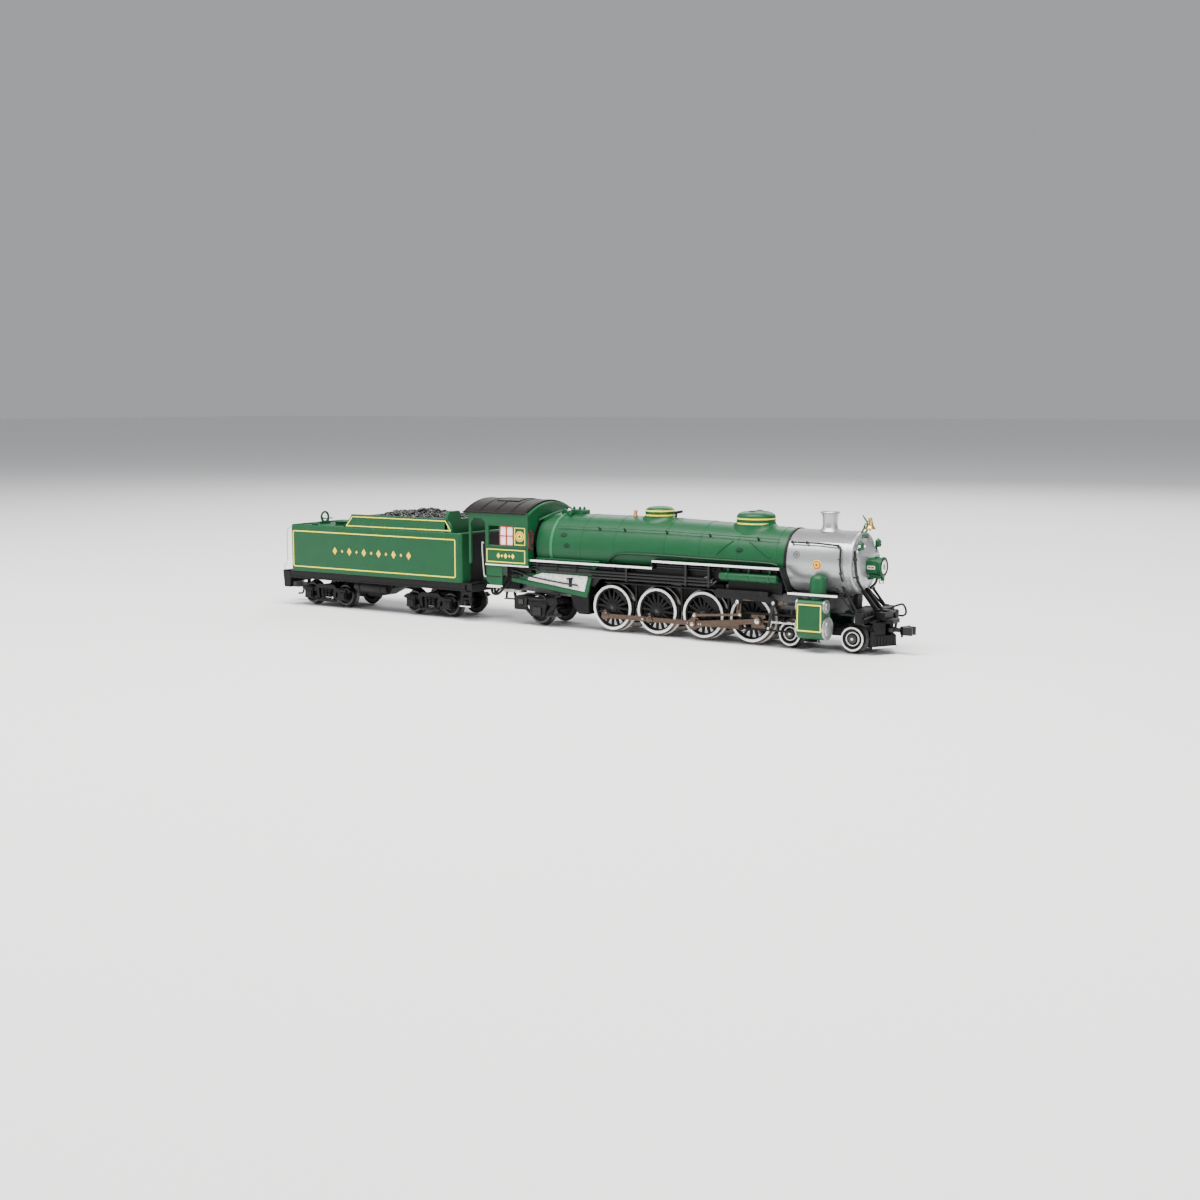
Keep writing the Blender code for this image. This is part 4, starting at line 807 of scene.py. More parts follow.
for s in (-1, 1):
    xs = [-37.15, -36.55, -36.2, -35.7, -33.3, -32.75, -32.4, -31.4, -28.4, -24.4, -20.9, -20.3]
    zs = [13.2, 15.0, 17.75, 20.0, 22.2, 22.9, 23.35, 23.75, 25.25]

    def wall(x, z):
        if -31.4 < x < -20.9 and 17.75 < z < 22.2:
            return False
        if -36.55 < x < -32.4 and z < 22.9:
            return False
        if -36.2 < x < -32.75 and z < 23.35:
            return False
        if -35.7 < x < -33.3 and z < 23.75:
            return False
        return True
    grid_panel(sh, xs, zs, wall, "y", *sorted((s * 9.5, s * 8.95)))
    # lower panel under the floor, sloping
    sh.prism([(-32.3, 13.3), (-27.6, 13.3), (-27.9, 8.3), (-30.9, 8.3), (-32.3, 9.4)], "y", *sorted((s * 9.3, s * 8.9)))
    # front wall half, round the boiler
    hole = [(7.3 * math.sin(math.radians(a)), 17.6 + 7.3 * math.cos(math.radians(a))) for a in range(0, 125, 6)]
    outline = [(s * 0.001, roof_z(0, 0.36))] + [(s * 9.44 * i / 14, roof_z(9.44 * i / 14, 0.4)) for i in range(1, 15)] + [(s * 9.44, 13.26)] + [(s * y, z) for y, z in hole[::-1] if z >= 13.2] + [(s * 0.001, 25.27)]
    sh.prism(outline, "x", -21.1, -20.37)
    # window ledge and rain strip
    sh.box((-31.7, -20.7), (s * 9.45, s * 9.72), (17.45, 17.75))
    sh.box((-31.6, -20.8), (s * 9.45, s * 9.62), (22.2, 22.4))
    # beading round the cab side
    sh.box((-37.15, -20.3), (s * 9.45, s * 9.6), (24.85, 25.15))
sh.prism(roof_line(0.37, 9.45) + roof_line(1.0, 9.0)[::-1], "x", -38.0, -20.1)
sh.box((-32.4, -21.1), (-8.95, 8.95), (13.2, 13.6))
sh.box((-36.9, -32.4), (-4.6, 4.6), (9.0, 9.4))
sh.done("cab_shell", "chassis", replaces=["cab"], bevel=0.07, slot="green")

sh = Shape().use(ROOF)
sh.prism(roof_line(0.0, 9.62) + roof_line(0.35, 9.5)[::-1], "x", -38.7, -20.9)
for x in (-34.2, -29.7, -25.2):
    sh.prism(roof_line(-0.08, 9.6) + roof_line(0.1, 9.6)[::-1], "x", x - 0.12, x + 0.12)
for s in (-1, 1):
    sh.box((-38.7, -20.9), (s * 9.5, s * 9.78), (24.95, 25.3))
sh.prism([(y, roof_z(y, -0.2)) for y in (4.0, 2.0, 0.0, -2.0, -4.0)] + [(y, roof_z(y, 0.1)) for y in (-4.0, 0.0, 4.0)], "x", -33.0, -26.6)
sh.use(BLACK)
for x in (-38.2, -21.4):
    sh.prism(roof_line(-0.05, 9.55) + roof_line(0.1, 9.55)[::-1], "x", x - 0.1, x + 0.1)
sh.done("roof_skin", "chassis", replaces=["cab_roof"], bevel=0.05, slot="roof", angle=35)

# roof rivets
sh = Shape().use(ROOF)
for x in (-38.2, -34.5, -33.9, -30.0, -29.4, -25.5, -24.9, -21.5):
    for i in range(-14, 15):
        y = i * 0.65
        sh.dome_bolt((x, y, roof_z(y, -0.01)), (0, y / ROOF_R, 1), 0.09, 0.07, 6)
sh.done("roof_rivets", "chassis", slot="roof")

sh = Shape()
for s in (-1, 1):
    y = s * 9.5
    # sliding sash: red bars over a pale pane
    sh.use(WHITE).box((-28.25, -24.45), (s * 9.05, s * 9.3), (17.8, 22.15))
    sh.use(RED)
    for x0, x1, z0, z1 in ((-28.3, -24.4, 17.75, 17.95), (-28.3, -24.4, 22.0, 22.2), (-28.3, -28.08, 17.75, 22.2), (-24.62, -24.4, 17.75, 22.2),
                           (-26.52, -26.2, 17.9, 22.0), (-28.2, -24.5, 19.85, 20.1)):
        sh.box((x0, x1), (s * 9.2, s * 9.46), (z0, z1))
    # forward panel with its outline and a round ornament
    sh.use(GREEN).box((-24.35, -20.85), (s * 9.05, s * 9.35), (17.75, 22.2))
    strip(sh.use(YELLOW), [(-24.05, 18.05), (-21.2, 18.05), (-21.2, 21.9), (-24.05, 21.9)], s * 9.35, 0.2, 0.05)
    sh.use(GOLD).turn((-22.6, s * 9.35, 20.0), (0, s, 0), [(0, -0.05), (1.2, -0.05), (1.2, 0.07), (1.0, 0.1), (0, 0.1)], 32)
    sh.use(BROWN).turn((-22.6, s * 9.35, 20.0), (0, s, 0), [(0.78, 0.0), (0.92, 0.0), (0.92, 0.12), (0.78, 0.12)], 32, closed=True)
    sh.use(BROWN).turn((-22.6, s * 9.35, 20.0), (0, s, 0), [(0, -0.05), (0.3, -0.05), (0.3, 0.15), (0, 0.16)], 24)
    # boxed lining with a plain repeating ornament
    strip(sh.use(YELLOW), [(-31.9, 13.95), (-21.15, 13.95), (-21.15, 16.8), (-31.9, 16.8)], y, 0.21, 0.05)
    sh.use(YELLOW)
    for i, cx in enumerate((-28.6, -27.6, -26.55, -25.5, -24.5)):
        h = 0.62 if i % 2 == 0 else 0.36
        flat_shape(sh, [(cx - h * 0.8, 15.38), (cx, 15.38 - h), (cx + h * 0.8, 15.38), (cx, 15.38 + h)], y, 0.05)
    sh.use(WHITE)
    sh.box((-32.35, -20.2), (s * 9.5, s * 9.56), (13.1, 13.38))
    sh.box((-32.0, -27.7), (s * 9.3, s * 9.36), (8.2, 8.5))
sh.done("cab_lining", "chassis", slot="green")

# cab interior: backhead with its fittings, seats and floor
sh = Shape().use(INTERIOR)
sh.turn((-22.2, 0, 17.2), (1, 0, 0), [(0, 0), (6.3, 0.15), (6.7, 0.5), (6.7, 1.1), (0, 1.1)], 48)
sh.box((-22.6, -21.1), (-6.0, 6.0), (13.5, 17.5))
for s in (-1, 1):
    sh.box((-27.6, -23.2), (s * 8.85, s * 6.2), (13.5, 16.4))
    sh.box((-27.9, -27.3), (s * 8.85, s * 6.2), (16.2, 19.2))
sh.done("cab_fittings", "chassis", bevel=0.1, slot="black")
sh = Shape()
sh.use(BLACK_SATIN).box((-22.75, -22.3), (-1.5, 1.5), (14.2, 16.6))
for y, z, r in ((-2.2, 21.2, 0.62), (0.0, 21.8, 0.72), (2.2, 21.2, 0.62), (-3.6, 19.6, 0.45), (3.6, 19.6, 0.45)):
    sh.use(BRASS).turn((-22.3, y, z), (-1, 0, 0), [(r * 0.8, 0), (r, 0), (r, 0.35), (r * 0.8, 0.35)], 24, closed=True)
    sh.use(WHITE).turn((-22.3, y, z), (-1, 0, 0), [(0, 0), (r * 0.82, 0), (r * 0.82, 0.28), (0, 0.28)], 24)
for y in (-1.3, 1.3):
    sh.use(BRASS).tube([(-22.5, y, 17.6), (-22.5, y, 19.8)], 0.14, 8)
sh.use(RED).tube(smooth_path([(-22.6, -2.0, 18.8), (-23.4, -0.5, 18.6), (-23.5, 1.8, 18.9)], 5), 0.15, 8)
for y in (-3.0, -2.2, 2.4, 3.1):
    sh.use(COPPER).tube(smooth_path([(-22.4, y, 15.2), (-22.7, y, 18.0), (-22.3, y * 0.9, 20.6)], 5), 0.13, 8)
sh.done("backhead_gauges", "chassis", slot="brass")

# front cab windows, red-brown frames round dark panes
sh = Shape()
for s in (-1, 1):
    sh.use(GLASS).box((-20.35, -20.22), (s * 7.75, s * 9.25), (17.3, 21.2))
    sh.use(BROWN)
    for y0, y1, z0, z1 in ((7.65, 9.35, 17.0, 17.4), (7.65, 9.35, 21.0, 21.4), (9.05, 9.35, 17.0, 21.4), (7.65, 7.95, 18.5, 21.4)):
        sh.box((-20.35, -20.1), (s * y0, s * y1), (z0, z1))
sh.done("cab_front_windows", "chassis", bevel=0.03, slot="roof")

# grab irons, gangway and steps at the back of the cab
sh = Shape().use(WIRE)
for s in (-1, 1):
    sh.tube(smooth_path([(-32.9, s * 9.35, 18.1), (-33.1, s * 9.75, 17.7), (-32.6, s * 9.75, 11.0), (-32.3, s * 9.3, 10.4)], 5), 0.13, 8)
sh.done("cab_grab_irons", "chassis", slot="steel")
sh = Shape().use(BLACK)
for s in (-1, 1):
    sh.box((-32.2, -28.2), (s * 9.35, s * 7.6), (7.9, 8.2))
    sh.box((-32.2, -28.2), (s * 9.35, s * 7.6), (10.4, 10.6))
    sh.use(WHITE).box((-32.2, -28.2), (s * 9.35, s * 9.41), (7.93, 8.15))
    sh.use(BLACK)
sh.box((-34.0, -27.0), (-4.6, 4.6), (8.7, 9.4))
for s in (-1, 1):
    sh.box((-27.4, -20.6), (s * 7.75, s * 3.6), (9.7, 13.1))
    sh.prism([(-33.2, 9.4), (-26.4, 9.4), (-26.4, 7.3), (-30.6, 7.3), (-33.2, 8.2)], "y", *sorted((s * 3.05, s * 4.4)))
    sh.tube(smooth_path([(-27.2, s * 6.8, 9.8), (-28.6, s * 6.9, 8.2), (-30.6, s * 6.8, 6.3), (-32.6, s * 6.3, 6.1), (-33.3, s * 5.9, 7.2), (-33.0, s * 5.4, 8.8)], 5), 0.32, 10)
    sh.tube(smooth_path([(-30.5, s * 5.6, 8.6), (-32.0, s * 5.5, 6.6), (-33.2, s * 4.9, 6.6), (-33.4, s * 4.2, 8.8)], 5), 0.3, 10)
sh.done("cab_steps", "chassis", bevel=0.04, slot="black")

# ================================================================ cylinders and valve chests
for side, s in SIDES:
    sh = Shape().use(GREEN)
    jacket = [(5.95, 2.6)] + arc(7.4, 4.5, 2.42, -122, -12, 10) + [(9.78, 5.0), (9.78, 8.2)] + arc(8.3, 9.0, 1.48, 2, 165, 12) + [(5.95, 9.6)]
    sh.prism([(s * y, z) for y, z in jacket], "x", 47.3, 53.1)
    sh.turn((50.85, s * 7.75, 0), (0, s * -0.06, 1), [(0, 9.6), (1.75, 9.6), (1.75, 13.9), (1.62, 14.6), (1.2, 15.15), (0.6, 15.4), (0, 15.45)], 32)
    strip(sh.use(YELLOW), [(47.6, 4.0), (52.8, 4.0), (52.8, 9.35), (47.6, 9.35)], s * 9.78, 0.26, 0.05)
    sh.use(BLACK)
    for x in (49.0, 51.4):
        sh.cyl((x, s * 7.4, 2.3), (x, s * 7.4, 1.55), 0.2, 8)
    sh.box((48.6, 51.8), (s * 7.2, s * 7.6), (1.5, 1.68))
    sh.use(SILVER)
    for xf, d in ((53.1, 1), (47.3, -1)):
        sh.turn((xf, s * 7.4, 4.5), (d, 0, 0), [(0, -0.2), (2.4, -0.2), (2.4, 0.28), (2.2, 0.38), (1.75, 0.42), (1.68, 0.62), (1.2, 0.78), (0, 0.85)], 40)
        sh.turn((xf, s * 8.15, 9.05), (d, 0, 0), [(0, -0.2), (1.48, -0.2), (1.48, 0.28), (1.32, 0.36), (0.95, 0.4), (0.9, 0.62), (0, 0.7)], 32)
        for i in range(12):
            t = math.radians(i * 30 + 8)
            sh.dome_bolt((xf + d * 0.36, s * 7.4 + 2.02 * math.cos(t), 4.5 + 2.02 * math.sin(t)), (d, 0, 0), 0.16, 0.15, 8)
        for i in range(8):
            t = math.radians(i * 45 + 12)
            sh.dome_bolt((xf + d * 0.34, s * 8.15 + 1.18 * math.cos(t), 9.05 + 1.18 * math.sin(t)), (d, 0, 0), 0.12, 0.12, 8)
    sh.use(BLACK).cyl((46.6, s * 6.75, 4.8), (47.1, s * 6.75, 4.8), 0.55, 14)
    sh.use(BLACK).cyl((44.6, s * 8.15, 9.05), (46.7, s * 8.15, 9.05), 0.34, 12)
    sh.done(f"cylinder_casting_{side}", "chassis", replaces=[f"cylinder_{side}"], bevel=0.05, slot="green", angle=40)

    # guides, yoke, link hanger
    sh = Shape().use(BLACK)
    for z0, z1 in ((6.2, 6.62), (2.85, 3.24)):
        sh.box((32.9, 46.6), (s * 6.6, s * 6.98), (z0, z1))
    sh.prism([(32.6, 2.6), (33.4, 2.6), (33.4, 11.3), (32.6, 11.3)], "y", *sorted((s * 6.55, s * 7.0)))
    sh.box((28.0, 40.2), (s * 6.4, s * 8.65), (10.35, 11.2))
    sh.prism([(27.2, 10.9), (28.0, 9.4), (32.0, 9.4), (32.5, 8.3), (33.7, 8.3), (34.1, 9.5), (40.2, 9.0), (41.2, 8.55), (42.3, 8.55), (42.3, 9.65), (38.0, 10.9)], "y", *sorted((s * 8.3, s * 8.66)))
    for x in (29.3, 30.7, 36.2, 37.8, 39.2):
        sh.dome_bolt((x, s * 8.66, 10.3), (0, s, 0), 0.17, 0.12)
    sh.cyl((33.1, s * 7.55, 8.75), (33.1, s * 8.75, 8.75), 0.27, 12)
    sh.cyl((41.7, s * 8.5, 9.1), (41.7, s * 9.2, 9.1), 0.27, 12)
    sh.use(ROD)
    # valve spindle and its guide
    sh.box((40.6, 43.6), (s * 7.8, s * 8.28), (8.65, 9.45))
    sh.cyl((41.5, s * 8.05, 9.05), (46.6, s * 8.05, 9.05), 0.2, 10)
    # radius rod from link block to spindle
    sh.prism([(32.8, 8.95), (41.4, 9.35), (41.4, 9.85), (32.8, 9.5)], "y", *sorted((s * 7.95, s * 8.2)))
    sh.use(STEEL)
    sh.dome_bolt((33.1, s * 8.75, 8.75), (0, s, 0), 0.42, 0.22, 14)
    sh.dome_bolt((41.7, s * 9.16, 9.1), (0, s, 0), 0.36, 0.2, 14)
    sh.done(f"guides_and_hanger_{side}", "chassis", replaces=[f"crosshead_guide_{side}"], bevel=0.04, slot="black")

# ================================================================ running gear
MAIN_X, DRIVERS = 23.18, {1: 34.77, 3: 11.59, 4: 0.0}
DEG = {"right": -128.0, "left": -38.0}


def driver(sh, x, side, s, main):
    deg = DEG[side]
    prof = [(4.35, 4.0), (4.35, 5.62), (4.42, 5.7), (4.9, 5.7), (5.0, 5.6), (5.02, 4.5), (5.2, 4.3), (5.48, 4.25), (5.6, 4.12), (5.58, 3.95), (5.45, 3.86), (4.5, 3.86)]
    sh.use(TREAD).turn((x, 0, 5), (0, s, 0), prof, 72, closed=True)
    sh.use(WHITE).turn((x, 0, 5), (0, s, 0), [(4.42, 5.66), (4.42, 5.74), (4.93, 5.74), (4.97, 5.66)], 72, closed=True)
    sh.use(BLACK)
    sh.turn((x, 0, 5), (0, s, 0), [(4.05, 4.55), (4.05, 5.42), (4.15, 5.5), (4.4, 5.5), (4.4, 4.5)], 64, closed=True)
    sh.turn((x, 0, 5), (0, s, 0), [(0, 3.9), (1.3, 3.9), (1.3, 5.5), (1.15, 5.66), (0.9, 5.7), (0, 5.7)], 32)
    px, pz = crank(deg, x, 5.0)
    # hub carried out to the crank pin
    t = math.radians(deg)
    nx, nz = -math.sin(t), math.cos(t)
    sh.prism([(x + nx * 1.15, 5 + nz * 1.15), (x - nx * 1.15, 5 - nz * 1.15), (px - nx * 0.85, pz - nz * 0.85), (px + nx * 0.85, pz + nz * 0.85)], "y", *sorted((s * 4.4, s * 5.55)))
    sh.turn((px, 0, pz), (0, s, 0), [(0, 4.4), (1.0, 4.4), (1.0, 5.6), (0.88, 5.72), (0, 5.72)], 24)
    for i in range(16):
        a = math.radians(deg + 180 + 11.25 + i * 22.5)
        ca, sa = math.cos(a), math.sin(a)
        u0, u1 = 0.3, 0.2
        r0, r1 = 1.15, 4.2
        def q(r, u, y):
            return (x + ca * r - sa * u, s * y, 5 + sa * r + ca * u)
        sh.shell([[q(r0, -u0, 5.45), q(r0, u0, 5.45), q(r0, u0, 4.6), q(r0, -u0, 4.6)], [q(r1, -u1, 5.3), q(r1, u1, 5.3), q(r1, u1, 4.7), q(r1, -u1, 4.7)]])
    # counterweight
    a0, a1 = deg + 180 - (52 if main else 40), deg + 180 + (52 if main else 40)
    out = [(x + 4.2 * math.cos(math.radians(a)), 5 + 4.2 * math.sin(math.radians(a))) for a in [a0 + (a1 - a0) * i / 16 for i in range(17)]]
    sh.prism(out, "y", *sorted((s * 4.5, s * 5.58)))
    # axle end, centre mark
    sh.use(WHEEL_METAL).turn((x, 0, 5), (0, s, 0), [(0, 5.6), (0.5, 5.6), (0.5, 5.76), (0.38, 5.8), (0, 5.8)], 20)


for number, x in DRIVERS.items():
    sh = Shape()
    for side, s in SIDES:
        driver(sh, x, side, s, False)
        px, pz = crank(DEG[side], x, 5.0)
        sh.use(ROD)
        sh.turn((px, 0, pz), (0, s, 0), [(0, 5.5), (0.46, 5.5), (0.46, 6.58), (0.7, 6.6), (0.7, 6.72), (0.45, 6.86), (0, 6.9)] if number != 1 else [(0, 5.5), (0.46, 5.5), (0.46, 6.46), (0.38, 6.5), (0, 6.5)], 20)
    sh.use(WHEEL_METAL).cyl((x, -4.6, 5), (x, 4.6, 5), 0.8, 24)
    sh.done(f"driver_{number}_wheels", f"driver_{number}", replaces=[f"driver_{number}_right_and_axle", f"driver_{number}_left"], bevel=0.035, slot="black")

sh = Shape()
for side, s in SIDES:
    driver(sh, MAIN_X, side, s, True)
sh.done("main_driver_wheels", "main_driver", replaces=["main_driver_right", "main_driver_left"], bevel=0.035, slot="black")


def bar(sh, a, b, w0, w1, ra, rb, near, far, s, flute=True, body=ROD, boss=0.03):
    """A flat rod between two pins with round ends, and a sunk flute along its outer face."""
    (x0, z0), (x1, z1) = a, b
    length = math.hypot(x1 - x0, z1 - z0)
    dx, dz = (x1 - x0) / length, (z1 - z0) / length
    nx, nz = -dz, dx
    sh.use(body)
    sh.prism([(x0 + nx * w0, z0 + nz * w0), (x0 - nx * w0, z0 - nz * w0), (x1 - nx * w1, z1 - nz * w1), (x1 + nx * w1, z1 + nz * w1)], "y", *sorted((s * near, s * (far - 0.07 if flute else far))))
    if flute:
        for g in (-1, 1):
            e0, e1 = w0 * 0.55, w1 * 0.5
            sh.prism([(x0 + g * nx * w0, z0 + g * nz * w0), (x0 + g * nx * e0, z0 + g * nz * e0), (x1 + g * nx * e1, z1 + g * nz * e1), (x1 + g * nx * w1, z1 + g * nz * w1)], "y", *sorted((s * (far - 0.1), s * far)))
    for (x, z), r in ((a, ra), (b, rb)):
        sh.turn((x, 0, z), (0, s, 0), [(0, near - boss), (r, near - boss), (r, far - 0.05 + boss), (r - 0.08, far + boss), (0, far + boss)], 32)


for side, s in SIDES:
    deg = DEG[side]
    xs = [0.0, 11.59, 23.18, 34.77]
    pins = [crank(deg, x, 5.0) for x in xs]
    mp = pins[2]
    sh = Shape()
    for a, b in zip(pins, pins[1:]):
        bar(sh, a, b, 0.5, 0.5, 0.95, 0.95, 5.95, 6.45, s)
    sh.turn((mp[0], 0, mp[1]), (0, s, 0), [(0, 5.93), (1.2, 5.93), (1.2, 6.43), (1.1, 6.5), (0, 6.5)], 32)
    # knuckles beside the two middle pins, and oil cups
    for p in (pins[1], pins[2]):
        sh.turn((p[0] - 1.75, 0, p[1]), (0, s, 0), [(0, 5.95), (0.62, 5.95), (0.62, 6.52), (0, 6.52)], 24)
        sh.use(STEEL).dome_bolt((p[0] - 1.75, s * 6.52, p[1]), (0, s, 0), 0.24, 0.06, 12)
        sh.use(ROD)
    for p in pins:
        sh.box((p[0] - 0.3, p[0] + 0.3), (s * 6.05, s * 6.4), (p[1] + 0.8, p[1] + 1.3))
        sh.use(STEEL).turn((p[0], 0, p[1]), (0, s, 0), [(0.5, 6.4), (0.68, 6.4), (0.68, 6.53), (0.5, 6.53)], 24, closed=True)
        sh.use(ROD)
    sh.done(f"side_rod_forging_{side}", f"side_rod_{side}_body", replaces=[f"side_rod_{side}"], bevel=0.03, slot="rod")

    L = 15.53989
    wrist = (mp[0] + math.sqrt(L * L - (4.8 - mp[1]) ** 2), 4.8)
    sh = Shape()
    bar(sh, mp, wrist, 0.66, 0.5, 1.28, 0.9, 7.05, 7.55, s)
    sh.box((mp[0] - 0.35, mp[0] + 0.35), (s * 7.1, s * 7.5), (mp[1] + 1.1, mp[1] + 1.65))
    # strap blocks behind each eye
    sh.box((mp[0] + 1.1, mp[0] + 2.3), (s * 7.05, s * 7.56), (mp[1] - 0.72, mp[1] + 0.86))
    for dx in (1.4, 2.0):
        sh.use(STEEL).dome_bolt((mp[0] + dx, s * 7.56, mp[1] + 0.1), (0, s, 0), 0.16, 0.06, 8)
    sh.use(STEEL).dome_bolt((wrist[0], s * 7.56, wrist[1]), (0, s, 0), 0.55, 0.16, 20)
    sh.done(f"main_rod_forging_{side}", f"main_rod_{side}_body", replaces=[f"main_rod_{side}"], bevel=0.03, slot="rod")

    sh = Shape().use(ROD)
    x = wrist[0]
    sh.prism([(x - 1.6, 3.3), (x + 1.6, 3.3), (x + 1.6, 4.0), (x + 1.1, 4.3), (x + 1.1, 5.3), (x + 1.6, 5.5), (x + 1.6, 6.14), (x - 1.6, 6.14), (x - 1.6, 5.5), (x - 1.1, 5.3), (x - 1.1, 4.3), (x - 1.6, 4.0)], "y", *sorted((s * 6.6, s * 6.98)))
    sh.cyl((x + 0.9, s * 6.72, 4.8), (x + 2.4, s * 6.72, 4.8), 0.27, 14)
    sh.use(STEEL).cyl((x + 1.0, s * 6.75, 4.8), (x + 11.6, s * 6.75, 4.8), 0.23, 14)
    sh.cyl((x, s * 6.9, 4.8), (x, s * 7.0, 4.8), 0.4, 16)
    sh.done(f"crosshead_casting_{side}", f"crosshead_{side}_body", replaces=[f"crosshead_{side}"], bevel=0.03, slot="rod")

    turn = math.radians(deg + 128.0)
    dx = 0.80 * math.cos(turn) - 2.02 * math.sin(turn)
    dz = 0.80 * math.sin(turn) + 2.02 * math.cos(turn)
    ecc = (mp[0] + dx, mp[1] + dz)
    sh = Shape()
    bar(sh, mp, ecc, 0.46, 0.4, 0.82, 0.55, 7.62, 7.88, s, flute=False, boss=0.02)
    sh.use(STEEL)
    sh.cyl((mp[0], s * 4.65, mp[1]), (mp[0], s * 7.75, mp[1]), 0.54, 20)
    sh.dome_bolt((mp[0], s * 7.9, mp[1]), (0, s, 0), 0.42, 0.14, 16)
    sh.cyl((ecc[0], s * 7.8, ecc[1]), (ecc[0], s * 8.3, ecc[1]), 0.29, 14)
    sh.dome_bolt((ecc[0], s * 8.3, ecc[1]), (0, s, 0), 0.36, 0.14, 16)
    sh.done(f"return_crank_arm_{side}", "main_driver", replaces=[f"return_crank_{side}"], bevel=0.03, slot="rod")

    foot = (33.48, 6.03) if side == "right" else (33.05, 6.03)
    sh = Shape()
    bar(sh, ecc, foot, 0.26, 0.24, 0.52, 0.44, 7.95, 8.2, s, flute=False)
    sh.use(STEEL).turn((foot[0], 0, foot[1]), (0, s, 0), [(0, 8.15), (0.26, 8.15), (0.26, 8.36), (0.16, 8.42), (0, 8.42)], 16)
    sh.done(f"eccentric_rod_forging_{side}", f"eccentric_rod_{side}_body", replaces=[f"eccentric_rod_{side}"], bevel=0.025, slot="rod")

    sh = Shape().use(ROD)
    outer = arc(33.1 - 9.0, 8.05, 9.5, -13.0, 10.5, 12)
    inner = arc(33.1 - 9.0, 8.05, 8.5, 10.5, -13.0, 12)
    sh.prism(outer + inner, "y", *sorted((s * 7.62, s * 7.88)))
    slot_o = arc(33.1 - 9.0, 8.05, 9.18, -7.0, 7.0, 10)
    slot_i = arc(33.1 - 9.0, 8.05, 8.82, 7.0, -7.0, 10)
    sh.use(BLACK).prism(slot_o + slot_i, "y", *sorted((s * 7.7, s * 7.9)))
    sh.use(ROD).turn((33.1, 0, 8.75), (0, s, 0), [(0.3, 7.6), (0.64, 7.6), (0.64, 7.92), (0.3, 7.92)], 24, closed=True)
    sh.done(f"expansion_link_plate_{side}", f"expansion_link_{side}_body", replaces=[f"expansion_link_{side}"], bevel=0.025, slot="rod")

    swing = math.radians(-11.7 if side == "right" else 24.0)
    lf = (41.7 + 5.41 * math.sin(swing), 9.1 - 5.41 * math.cos(swing))
    sh = Shape()
    bar(sh, (41.7, 9.1), lf, 0.38, 0.28, 0.6, 0.44, 8.8, 9.1, s, flute=False, body=BLACK_SATIN)
    sh.use(STEEL).dome_bolt((lf[0], s * 9.12, lf[1]), (0, s, 0), 0.26, 0.12, 12)
    sh.done(f"combination_lever_bar_{side}", f"combination_lever_{side}_body", replaces=[f"combination_lever_{side}"], bevel=0.03, slot="black")


# ================================================================ carrying wheels
def small_wheels(name, body, node, x, r, rings=1, stub=0.0, rim=True):
    sh = Shape()
    for s in (-1, 1):
        prof = [(r * 0.8, 4.3), (r * 0.8, 5.55), (r * 0.83, 5.7), (r - 0.07, 5.7), (r, 5.62), (r + 0.02, 4.45), (r + 0.45, 4.25), (r + 0.6, 4.12), (r + 0.55, 3.92), (r + 0.3, 3.86), (r * 0.8, 3.86)]
        sh.use(WHEEL_METAL).turn((x, 0, r), (0, s, 0), prof, 56, closed=True)
        if rim:
            sh.use(WHITE).turn((x, 0, r), (0, s, 0), [(r * 0.85, 5.66), (r * 0.85, 5.74), (r - 0.05, 5.74), (r - 0.02, 5.66)], 56, closed=True)
        sh.use(BLACK).turn((x, 0, r), (0, s, 0), [(0, 3.9), (r * 0.3, 3.9), (r * 0.82, 4.2), (r * 0.82, 5.4), (r * 0.6, 5.25), (r * 0.42, 5.3), (r * 0.32, 5.62), (0, 5.66)], 48)
        if rings > 1:
            sh.use(WHITE).turn((x, 0, r), (0, s, 0), [(r * 0.51, 5.2), (r * 0.51, 5.62), (r * 0.565, 5.62), (r * 0.58, 5.2)], 40, closed=True)
            sh.use(WHEEL_METAL).turn((x, 0, r), (0, s, 0), [(0, 5.3), (r * 0.36, 5.3), (r * 0.34, 5.72), (r * 0.2, 5.78), (0, 5.78)], 32)
        sh.use(STEEL).turn((x, 0, r), (0, s, 0), [(0, 5.6), (0.3, 5.6), (0.3, 5.78), (0, 5.8)], 16)
        if stub:
            sh.use(WHEEL_METAL).cyl((x, s * 5.5, r), (x, s * stub, r), 0.5, 16)
    sh.use(WHEEL_METAL).cyl((x, -4.2, r), (x, 4.2, r), 0.6, 20)
    sh.done(name, body, replaces=[node], bevel=0.03, slot="black")


small_wheels("pilot_wheels_front_set", "pilot_wheels_front", "pilot_wheelset_front", 57.92, 2.5, 2)
small_wheels("pilot_wheels_rear_set", "pilot_wheels_rear", "pilot_wheelset_rear", 43.83, 2.5, 2)
small_wheels("trailing_wheels_set", "trailing_wheels", "trailing_wheelset", -19.6, 2.9, rim=False)
for label, cx in (("front", -51.4), ("rear", -84.85)):
    for k, ax in ((1, cx + 5.55), (2, cx - 5.55)):
        small_wheels(f"tender_wheels_{label}_{k}", f"wheels_{label}_{k}", f"tender_wheelset_{label}_{k}", ax, 2.6, 1, 6.25, rim=False)

